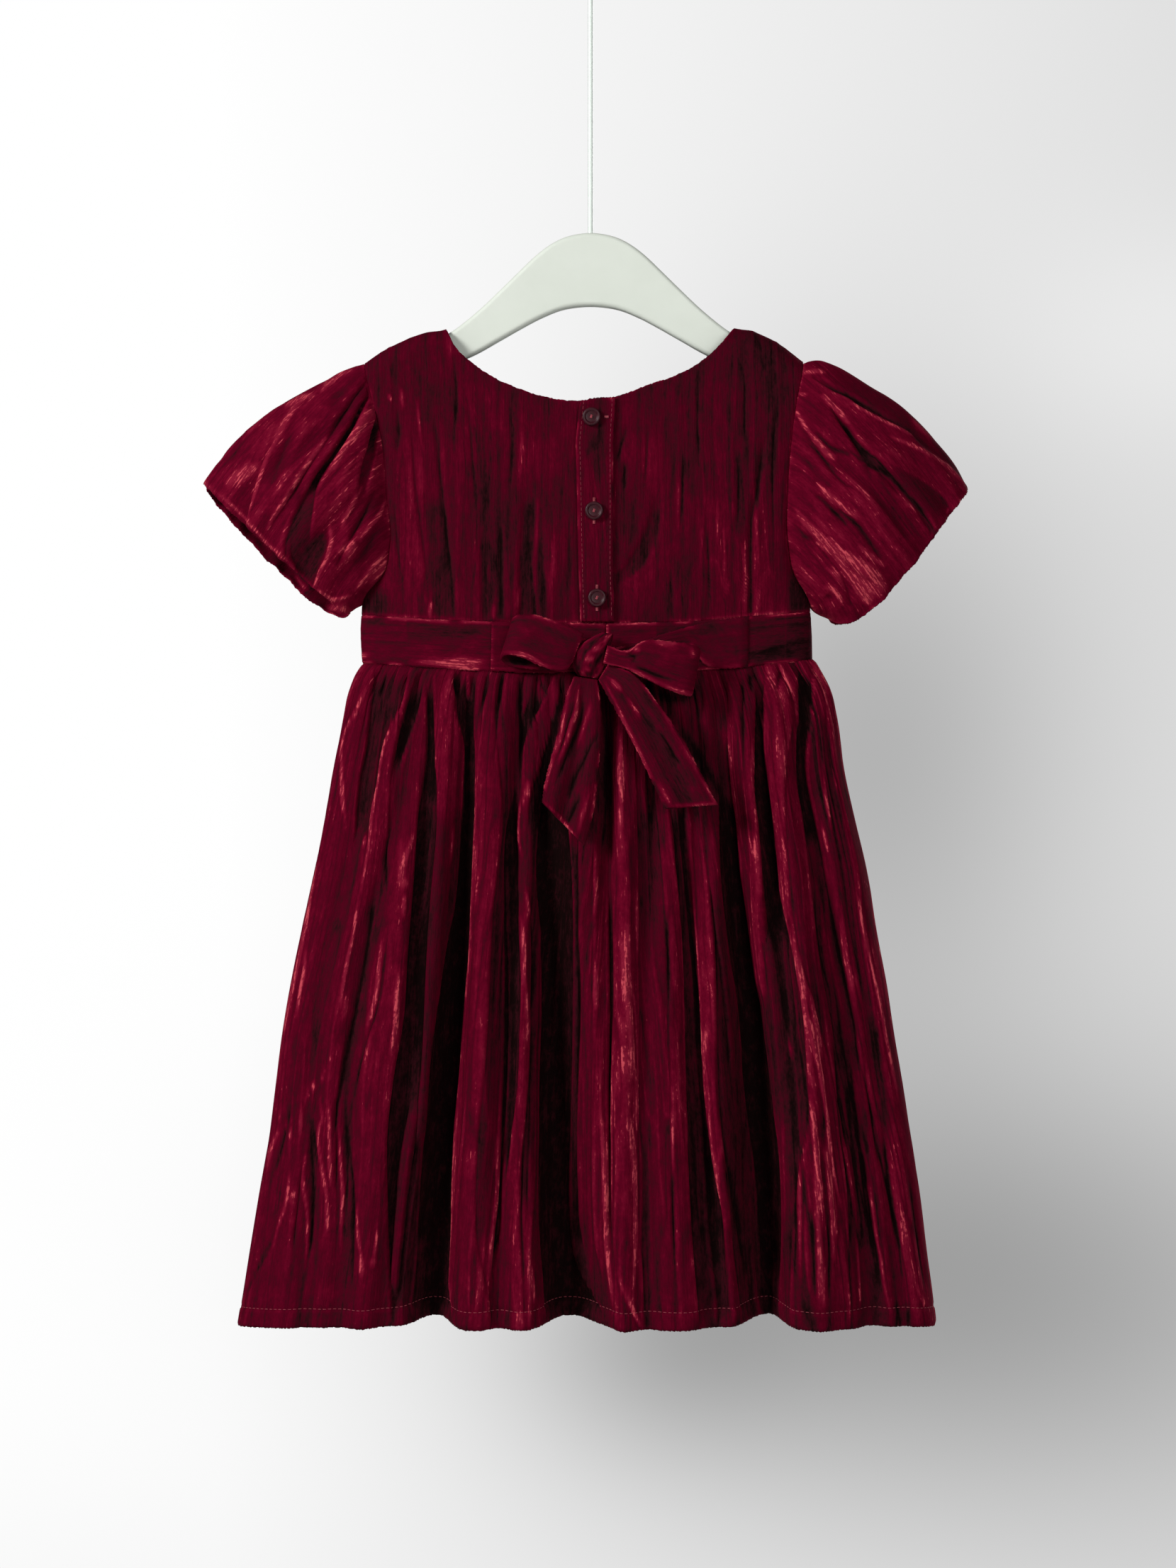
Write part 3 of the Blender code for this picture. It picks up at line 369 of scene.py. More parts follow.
# The knot: a band wound round, leaning over to the right. Sections from its foot to its top.
KNOT = table("""
    x    z      half_width half_depth out
    -1.6 -468.4 5.8        3.2        28.6
    -1.8 -464.4 8.6        5.2        29.3
    -0.6 -458   9.6        6.2        30.15
    2    -451.8 9.2        6.2        30.25
    6.2  -446.4 7          5.2        29.8
    9.6  -442.8 4          3.2        29.2
""")
KNOT_CREASES = 5
KNOT_CREASE = 0.08  # a crease's depth, as a share of the knot's radius
KNOT_LEAN = 0.175  # how steeply its sections tip down to the right

BUTTONS = table("""
    name   x   z
    top    0.5 -315.4
    middle 2.1 -370.7
    bottom 3.8 -421.8
""")
# A button's half profile from the middle of its back round to the middle of its face, which has a
# raised rim round a dished middle.
BUTTON_PROFILE = table("""
    radius height
    0      0
    4.6    0
    5.4    0.7
    5.4    1.6
    5      2.4
    4.4    2.6
    3.7    2.3
    3.3    1.7
    2      1.6
    0      1.6
""")

PLACKET = table("""
    z      left right
    -304   -6.2 14.6
    -330   -8.8 13.4
    -365   -7.9 13.4
    -401   -7.2 13.2
    -435.7 -6   14.2
""")

# The hanger board's outline over one half, from the middle: upper edge outwards, lower edge back.
BOARD_UPPER = table("""
    x    z
    0    0
    10   -1.2
    18   -3.8
    26   -8.4
    34   -14.9
    43   -23.6
    52.6 -33
    63   -43
    73   -51.6
    81.5 -58
    88   -61.2
    98   -62.6
    107  -66.8
    116  -72
""")
BOARD_TIP = table("""
    x     z
    119.4 -74.6
    120.8 -78.2
    119.4 -82
""")
BOARD_LOWER = table("""
    x    z
    116  -84
    104  -82.6
    90   -80.2
    70   -72.6
    54   -63.8
    41   -56.4
    28.4 -49.8
    15.4 -44.9
    0    -43.2
""")

# The rod's bend aside into the hook, measured from the hook's lowest point.
ROD_BEND = table("""
    x   z
    0   -16
    0.9 -10.8
    3.8 -6.2
    8   -2.6
""")

# How the folds and the sleeves are shaped
FOLD_TOP_IN, FOLD_TOP_DEPTH = 0.97, 0.3  # a fold's place and depth at the waist seam, of those below
FOLD_SHARP, SLEEVE_FOLD_SHARP = 2.3, 2.2  # how square a fold's section is
SLEEVE_FOLD_START, SLEEVE_FOLD_FULL = 0.15, 0.35  # a fold's depth at the armhole, and where it is full
SLEEVE_GATHER_START, SLEEVE_GATHER_RISE, SLEEVE_GATHER_END = 0.25, 0.06, 0.45  # the same of the gathers
SLEEVE_SPARE = 4.0  # added to a sleeve's depth, so that no fold closes it
SLEEVE_ROUND, SLEEVE_BOW_ROUND = 0.85, 0.7  # how full its section is, and its rings' bow
SLEEVE_TUCK = 0.35  # share of a fold's depth that shortens the sleeve's width
STRIP_FOLDS = 3  # half waves of a strip's lengthwise folds
STRIP_FOLD_FROM, STRIP_BREADTH = 2, 20  # the section and the breadth from which they are full

# Looks
GATHERS_SHOWN = 31  # gathers under the waistband, on each skirt panel
GATHER_UNEVEN = 0.32  # how far a gather strays along the waistband, in gathers
GATHER_WANDER = 0.25  # and how far it strays on its way down
GATHER_HEIGHT = 3.4  # mm
GATHER_SHORTEST, GATHER_LONGER = 16, 34  # how far a gather reaches down, and how much more it may, in mm
GATHER_ROUND, GATHER_MEAN = 0.6, 0.6  # a ridge's roundness, and what puts it about the middle layer
GATHER_START = (-4, 10)  # drops between which the gathers swell up
GATHER_CELLS, GATHER_LONGER_CELLS = 19, 23  # noise cells across the panel
GATHER_WANDER_CELLS = (15, 40)  # cells across the panel, and mm down for a cell
FOLDS_TO_SIDE, GATHERS_TO_SIDE = 1.6, 3  # how close to the side seams folds and gathers keep their depth
HEM_SPREAD = 0.35  # how much wider than the waist the hem is, as a share of itself
WAIST_ENDS = (-136, 132)  # the waistband's ends in X
HEM_RISE = 3.6  # how much higher the hem hangs at its middle than at the side seams
HEM_STITCH = 381.0  # drop of the hem's stitching below the waist seam
HEM_STANDS, HEM_DENT, HEM_DENT_REACH = 0.35, 0.5, 1.3  # the turned hem's step, the stitching's dent, mm
HEM_RIDGE_AT, HEM_RIDGE_PAINTED_HIGHLIGHT = 1.5, 0.08  # where the ridge just under the stitching stands, and the painted highlight along it
FOLD_PAINTED_SHADE, FOLD_DEEPEST = 0.022, 24  # painted shade: tone lost for each mm of a fold's depth, down to where
SKIRT_TONE = 0.54  # of the nap outside the drawn folds; 0 is the darkest and 1 the brightest
SKIRT_SIDE_LIVELY = (0.5, 90, 150)  # how much more the tone changes to the left, from where to where
SKIRT_SIDE_CALM = (0.22, 60, 110)  # and how much less to the right
PILE_EDGE = 0.65  # how ragged the pile is along an edge
PILE_REACH = 0.8  # how far in from the edge that fades, in mm
SLEEVE_LEAN = 41.0  # how far the sleeves' crinkles lean, in degrees
LEAN_BY_DEPTH = 0.35  # how far a leaning crinkle shifts for each mm of depth
RIM_PAINTED_SHEEN = 0.3  # painted sheen: how much the tone brightens where the cloth turns away to the sides
EDGE_HIGHLIGHT_REACH = 1.5  # how far in from an edge the painted highlight of the pile reaches
EDGE_HIGHLIGHT_CELL, EDGE_HIGHLIGHT_BREAKS = 9, (-0.7, 0.5)  # how that painted highlight is broken along the edge
TIE_SUNK, TIE_SUNK_REACH = 1.2, 3.0  # how far the right tie goes into its seam, and over what length
TIE_DARK_END = (2.0, 7.0)  # from where to where that tie's painted edge highlight fades in
FLAT_TONE, BODICE_TONE, SLEEVE_TONE, BAND_TONE = 0.48, 0.445, 0.64, 0.43
PLACKET_TONE = 0.42
INSIDE_DARKER = 0.2  # the tone that the cloth's inside loses
FACE_SOFT, DART_SOFT = 1.6, 5.0  # how soft a fold's face ends to its sides, in pixels
FACE_FADE = 22.0  # and up and down
STROKE_POINTS, EDGE_POINTS = 18, 40  # points on a smooth path
STROKE_REACH = 3  # how many widths a stroke reaches to its sides
STROKE_TAPER, STROKE_SHARP = 0.7, 1.5  # how blunt its ends are, and how sharp its sides
EDGE_CALM = 3.0  # how far in from an edge creases and crinkles reach their full height, in mm
EDGE_WALL = 0.15  # share of the wall that is left at the edge itself
RUFFLE_CELL, RUFFLE_REACH = (7, 30), 9  # a wavy edge's waves across and along, and how far in they fade
DARK_LIVELY, LIVELY_GAIN = 0.25, 1.5  # a darker tone changes less: what is left, and what its tone adds
BODICE_PATCHES = ((30, 34, 47, 1.0), (12, 60, 49, 0.7))  # cells across and down in mm, seed, strength
BODICE_PATCH_TONE = 0.13
# Rows of fine cloth: each run's start, end and number of steps.
SKIRT_ROWS = ((0, 26, 13), (26, 376, 75), (376, SKIRT_DROP, 12))
BODICE_ROWS = ((0, 0.03, 6), (0.03, 0.14, 13), (0.14, 0.985, 69), (0.985, 1, 4))
SLEEVE_ROWS = ((0, 0.06, 11), (0.06, 0.97, 73), (0.97, 1, 5))
NOISE_CELLS = 128  # cells each way before a noise repeats
# The crinkles' noises: cells across and along them in mm, and what is added to the seed.
CRINKLE_CELLS = {
    "drift": (55, 120, 0),
    "wobble": (15, 42, 1),
    "wide": (12, 170, 2),
    "narrow": (5.2, 85, 3),
    "patch": (42, 130, 4),
    "streak": (8, 110, 5),
    "cloud": (30, 90, 6),
    "line": (3.1, 60, 7),
    "bright": (4.3, 75, 8),
    "bright patch": (24, 60, 10),
}
DRIFT, WOBBLE, LINE_WARP = 6, 1.6, 0.6  # how far crinkles stray in mm, and a painted shade line's share of that
WIDE_HEIGHT, NARROW_HEIGHT = 0.9, 0.5  # mm
WIDE_CALM, NARROW_CALM = 0.45, 0.25  # the share of that height outside the crinkled patches
CRINKLE_MEAN = 0.45  # taken off the height, so that crinkles lie about the cloth, in mm
# The crinkles' tone: random cloud and streaks, a painted highlight on crests, painted shade in thin dark
# lines, and painted glints in thin bright lines
CLOUD_TONE, STREAK_TONE, CREST_PAINTED_HIGHLIGHT, LINE_PAINTED_SHADE, PAINTED_GLINT_TONE = 0.10, 0.10, 0.17, 0.3, 0.42
NARROW_CREST, CRINKLE_TONE = 0.8, 0.01  # a narrow crest's share of the painted crest highlight, and what all of the tone gains
PATCH_FROM, BRIGHT_FROM = (-0.35, 0.45), (0.05, 0.5)  # noise between which patches begin to show
CREST_SHARP, LINE_SHARP, BRIGHT_SHARP = 9, 5, 14
# Painted highlight on crests and painted shade in hollows: reach in mm, gain for each mm, and its most.
CREST_PAINTED_SHADING = (
    (1.4, 0.30, 0.14),
    (5.0, 0.04, 0.05),
)

# Velvet: cells to a metre across and along the pile, detail and roughness of its noises.
VELVET_NOISES = {
    "streaks": ((1000, 50, 1), 3.0, 0.6),
    "pile": ((1000, 330, 1), 2.0, 0.6),
    "mottle": ((210, 85, 1), 5.0, 0.72),
    "rough": ((38, 14, 1), 2.0, 0.6),
}
VELVET_STREAKS, VELVET_PILE, VELVET_MOTTLE = 0.5, 0.34, 0.7  # how far each noise changes the tone
ROUGH_GAIN, ROUGH_FROM = 4.0, -1.4  # where the streaks show
GLINT_STREAKS, GLINT_PILE, GLINT_GAIN, GLINT_FROM = 1.9, 0.9, 6.0, -14.6  # where painted glints of the fibres show
VELVET_ROUGHNESS, GLINT_SMOOTHER, VELVET_SHINE = 0.85, -0.35, 0.02
SHEEN, SHEEN_ROUGHNESS, SHEEN_TINT = 0.06, 0.3, (1.0, 0.04, 0.12, 1)
PILE_RELIEF, RELIEF_DEPTH, RELIEF_STRENGTH = 0.4, 0.0006, 0.7
# The velvet's colour along its tone: its darkest shades stand for painted shade in deep folds, its
# lightest for painted highlights
VELVET_TONES = (
    (0.0, (0.0042, 0.0012, 0.0012)),
    (0.10, (0.0110, 0.0018, 0.0026)),
    (0.20, (0.0220, 0.0024, 0.0046)),
    (0.30, (0.036, 0.0018, 0.0058)),
    (0.45, (0.054, 0.0004, 0.0066)),
    (0.60, (0.074, 0.0002, 0.0082)),
    (0.75, (0.104, 0.0010, 0.0116)),
    (1.0, (0.160, 0.0060, 0.0210)),
)
# The painted glints' highlight colour
VELVET_GLINT = (0.40, 0.046, 0.064)
# Plain finishes: two colours, roughness, metal, grain in cells to a metre, relief in metres, shine.
FINISHES = {
    "thread": ((0.19, 0.016, 0.03), (0.30, 0.045, 0.06), 0.8, 0.0, 900, 1e-4, 0.5),
    "button plastic": ((0.022, 0.0025, 0.005), (0.036, 0.004, 0.008), 0.4, 0.0, 300, 5e-5, 0.2),
    "sage paint": ((0.565, 0.60, 0.535), (0.595, 0.63, 0.565), 0.5, 0.0, 25, 1e-4, 0.5),
    "painted steel": ((0.62, 0.68, 0.63), (0.68, 0.74, 0.69), 0.4, 0.2, 120, 5e-5, 0.5),
    "floor": ((0.74, 0.74, 0.74), (0.8, 0.8, 0.8), 0.8, 0.0, 6, 5e-4, 0.5),
}
FINISH_RAMP = {"floor": (0.0, 1.0)}  # where the colours sit in the variation, if not at the usual places
USUAL_RAMP = (0.3, 0.7)

# Sewing, in mm: a stitch's shape is how far along it and how thick, as shares.
STITCH_AT = (0.0, 0.12, 0.5, 0.88, 1.0)
STITCH_THICK = (0.35, 0.9, 1.0, 0.9, 0.35)
STITCH_SIDES = 6
STITCH_ARCH, STITCH_LIFT = 1.2, 0.4  # how far it arches up, and lies off the cloth, in radii
HEM_THREAD, PLACKET_THREAD, BUTTON_THREAD, HOLE_THREAD = 0.16, 0.1, 0.34, 0.18  # radii
PLACKET_COLUMNS, PLACKET_STITCH_COLUMN = 36, 4  # and how many columns in from its edges it is stitched
PLACKET_CORNER, PLACKET_CORNER_REACH = 3.2, 4.0  # how far its top corner is rounded down
BUTTON_WRAPS, BUTTON_WRAP_REACH, BUTTON_WRAP_RISE = 5, 1.1, 0.12  # threads over a button's dished face
BUTTON_WRAP_FROM, BUTTON_WRAP_STEP = 0.5, 0.35  # their turns, in radians
BUTTON_FACE = 1.6  # the dish's height over the button's back
HOLE_STITCHES, HOLE_PITCH = 7, 0.34  # satin stitches at each end of a buttonhole
HOLE_FROM, HOLE_HALF = 5.5, 0.8  # how far from the button's middle they start, and half their length
HOLE_LIFT = 0.45  # off the placket
HOLE_ASIDE = 2.4  # how far the top button sits from the middle of its level hole
KNOT_SWIRL, KNOT_SHARPER = 1.1, 1.5  # how its creases wind, and how much deeper they are than the CAD's
KNOT_FINE = 0.25  # its finer crinkles, in mm
# The knot's tone: painted light and shade across its creases, turned round them, and on its fine
# crinkles
KNOT_TONE, KNOT_CREASE_PAINTED_SHADING, KNOT_CREASE_TURN, KNOT_FINE_PAINTED_SHADING = 0.56, 0.26, 2.4, 1.1
BOARD_FACE_INSET = 3.4  # where the board's flat face starts, in from its outline

# Camera and photo: sizes in mm, and the photo's pixels
CAMERA_X, CAMERA_Z, CAMERA_DISTANCE = -1.47, -530.9, 2200.0
CAMERA_LENS, CAMERA_SENSOR = 85.25, 36.0
PIXEL = 0.42  # a pixel at the dress's middle plane
PHOTO_X, PHOTO_Y = 829.5, 1106.0

# Stage, in metres
FLOOR_Z, FLOOR_RADIUS = -1.45, 2.0
AMBIENT = 0.10
# Area lights: place, width and height, and power. They all aim at the dress's middle.
LIGHTS = {
    "key": ((-1.9, -1.35, 0.55), 0.7, 70.0),
    "front": ((1.2, -2.5, 0.1), 1.5, 36.0),
    "fill": ((1.9, 1.9, 0.3), 1.0, 30.0),
}
LIGHT_AIM = (0, 0, -0.6)
# Painted shade: the backdrop is white as far as this direction and darkens to its right, by the fall for
# each unit.
BACKDROP_FROM, BACKDROP_FALL, BACKDROP_BASE = -0.098, 0.98, 0.096
BACKDROP_LEAST = 0.3  # it stays at least this light
# Patches of the dress's painted shadow on the backdrop by direction, where a minus depth lightens:
# depth, centre across and up, reach across and up.
BACKDROP_PAINTED_SHADOW = (
    (0.38, 0.070, 0.010, 0.065, 0.090),
    (0.44, 0.085, -0.135, 0.120, 0.065),
    (0.17, 0.018, -0.150, 0.040, 0.030),
    (0.06, -0.100, -0.220, 0.200, 0.040),
    (-0.08, 0.160, 0.118, 0.050, 0.030),
)

# Creases over the photo, each a path through its pixels. An edge bounds the faces of the folds.
SKIRT_EDGES = {
    "side_1": "526,950 516,1050 505,1110 500,1190",
    "tube_1": "578,950 566,1000 545,1040 533,1105 523,1160 516,1250",
    "tube_1_end": "588,950 572,1000 559,1045 549,1110 544,1250",
    "tube_2": "600,955 591,1000 580,1035 562,1090",
    "tube_2_end": "600,950 601,1000 602,1050 597,1105 590,1150 583,1250 575,1350 570,1430 556,1510 "
        "546,1600 546,1700 552,1850",
    "tube_3": "611,950 614,1050 617,1110 615,1180 606,1280 600,1400 596,1520 588,1600 576,1700 "
        "566,1800",
    "tube_3_end": "640,950 643,1005 654,1050 652,1140 645,1250 629,1350 613,1450 603,1550 596,1680 "
        "590,1780 582,1850",
    "stripe": "580,1560 566,1640 560,1700 555,1760 550,1820",
    "stripe_end": "592,1560 578,1640 571,1700 565,1760 560,1820",
    "tube_4": "658,950 664,1000 671,1060 672,1140 667,1250 665,1340 657,1420 650,1510 643,1600 "
        "639,1720 636,1810 641,1870",
    "tube_4_end": "700,1040 708,1150 704,1210 694,1290 689,1410 681,1520 672,1640 672,1750 690,1850",
    "slit": "722,1130 712,1210 712,1430 706,1600 700,1700 692,1790",
    "slit_end": "728,1130 718,1210 717,1450 711,1620 706,1730 696,1790",
    "tube_5": "731,1200 732,1300 735,1400 731,1520 718,1640 708,1740 702,1850",
    "tube_5_end": "744,1200 750,1340 748,1430 745,1530 736,1640 734,1720 738,1850",
    "notch": "750,975 737,1010 731,1065",
    "tube_6": "782,955 758,1008 740,1050 735,1120 730,1180 740,1240 752,1310 753,1430 751,1540 "
        "747,1650 748,1750 756,1850",
    "tube_6_crest": "790,955 786,1000 768,1060 750,1115 745,1160 742,1210",
    "tube_6_end": "794,955 790,1000 776,1060 764,1130 756,1220 762,1310 764,1420 761,1560 760,1700 "
        "766,1800 771,1870",
    "valley_2_end": "800,1150 806,1250 807,1400 804,1560 803,1700 812,1780 850,1850",
    "tube_7": "817,1150 818,1300 819,1420 816,1560 816,1700 830,1790",
    "tube_7_crest": "838,1180 838,1400 836,1600 840,1740 850,1800",
    "tube_7_end": "857,1180 858,1400 858,1600 859,1760 872,1850",
    "tube_8": "866,1020 867,1200 868,1400 864,1520 864,1700 872,1785 900,1870",
    "tube_8_end": "894,1050 898,1200 900,1400 898,1700 906,1800",
    "tube_9": "927,1140 936,1240 942,1330 944,1420 947,1550 950,1700 958,1850",
    "tube_9_end": "944,1140 955,1245 962,1340 965,1440 968,1600 974,1720 984,1850",
    "side_10": "956,1140 966,1245 975,1360 980,1470 990,1600 1000,1740 1012,1850",
    "tube_10": "968,1140 975,1250 984,1350 990,1450 996,1550 1008,1650 1020,1720 1034,1850",
    "tube_10_end": "990,1140 1000,1250 1009,1340 1010,1480 1013,1560 1022,1650 1032,1740 1046,1850",
    "lip": "1000,1200 1008,1300 1020,1370 1028,1450 1034,1550",
    "lip_end": "1014,1130 1017,1240 1030,1350 1041,1420 1050,1510 1060,1600 1069,1680 1075,1790 "
        "1080,1850",
    "tube_11": "1028,1000 1031,1090 1040,1160 1046,1230 1056,1300 1068,1390 1078,1465 1088,1555 "
        "1098,1620 1102,1720 1099,1850",
    "tube_11_end": "1066,1000 1063,1100 1070,1180 1076,1270 1077,1350 1084,1450 1096,1550",
    "tube_12": "1080,960 1078,1050 1088,1140 1100,1245 1118,1335 1131,1405 1139,1490 1144,1560 "
        "1132,1640 1120,1740 1116,1850",
    "tube_12_end": "1124,960 1112,1050 1106,1090 1109,1180 1117,1280 1130,1360 1150,1430 1166,1500 "
        "1180,1580 1192,1680 1200,1850",
    "tube_12_mid": "1116,1100 1118,1180 1122,1250 1129,1310 1139,1380 1151,1440 1162,1500",
    "valley_4": "1126,960 1123,1060 1124,1110 1132,1160 1143,1260 1156,1360 1172,1440 1188,1530 "
        "1204,1660 1214,1850",
    "tube_13": "1147,950 1145,1010 1138,1060 1140,1105 1153,1165 1168,1250 1186,1350 1206,1450 "
        "1222,1550 1240,1680 1256,1850",
    "rim": "1162,950 1172,1050 1184,1130 1200,1220 1216,1310 1234,1400 1250,1500 1268,1620 1286,1740 "
        "1300,1850",
    "right": "1180,950 1340,1850",
}
# Faces of the folds between two edges: tone, which paints the light and shade of each face, rise in mm,
# the photo's rows from and to, and the edges.
SKIRT_FACES = table("""
    tone rise from to   left         right
    0.27 -2   955  1180 side_1       tube_1
    0.58 1    955  1200 tube_1       tube_1_end
    0.03 -2   975  1085 tube_1_end   tube_2
    0.04 -2   975  1140 tube_2_end   tube_3
    0.13 -3   1130 1620 tube_2_end   tube_3
    0.16 -3   1600 1850 tube_2_end   tube_3_end
    0.33 0    1560 1820 stripe       stripe_end
    0.53 1    955  1160 tube_3       tube_3_end
    0.3  0    1150 1600 tube_3       tube_3_end
    0.1  -2   955  1120 tube_3_end   tube_4
    0    -3   1110 1760 tube_3_end   tube_4
    0.07 -2   1750 1852 tube_3_end   tube_4
    0.52 1    1040 1880 tube_4       tube_4_end
    0.3  0    1130 1760 tube_4_end   slit
    0.02 -3   1140 1790 slit         slit_end
    0.17 -2   1140 1640 slit_end     tube_5
    0.5  0.5  1280 1850 tube_5       tube_5_end
    0.22 -1   1280 1700 tube_5_end   tube_6
    0.02 -2   985  1060 notch        tube_6
    0.54 1.5  958  1200 tube_6       tube_6_crest
    0.31 0.5  975  1215 tube_6_crest tube_6_end
    0.29 0    1200 1840 tube_6       tube_6_end
    0.04 -3   1130 1850 tube_6_end   valley_2_end
    0.18 -2   1190 1760 valley_2_end tube_7
    0.38 -0.5 1190 1800 tube_7       tube_7_crest
    0.52 0.5  1190 1800 tube_7_crest tube_7_end
    0.18 -1.5 1270 1760 tube_7_end   tube_8
    0.52 1    1020 1870 tube_8       tube_8_end
    0.43 0.5  1050 1850 tube_8_end   tube_9
    0.57 1    1140 1860 tube_9       tube_9_end
    0.22 -1.5 1140 1850 tube_9_end   side_10
    0.02 -2   1140 1520 side_10      tube_10
    0.18 -3   1500 1860 side_10      tube_10
    0.55 1.5  1140 1740 tube_10      tube_10_end
    0.25 -1.5 1260 1860 tube_10_end  lip_end
    0.31 0    1245 1500 lip          lip_end
    0.04 -3   1130 1800 lip_end      tube_11
    0.29 -1   1300 1700 tube_11      tube_12
    0.52 1    985  1400 tube_11      tube_11_end
    0.09 -3   985  1330 tube_11_end  tube_12
    0.42 0.3  1570 1850 tube_11      tube_12
    0.57 1.5  950  1850 tube_12      tube_12_end
    0.34 0.2  1130 1470 tube_12_mid  tube_12_end
    0.38 0    1040 1460 tube_12_end  valley_4
    0.02 -2   955  1200 valley_4     tube_13
    0.35 -1.5 1190 1520 valley_4     tube_13
    0.52 -0.6 1500 1850 valley_4     tube_13
    0.62 -0.3 1500 1850 tube_13      rim
    0.53 -0.3 1000 1600 rim          right
""")
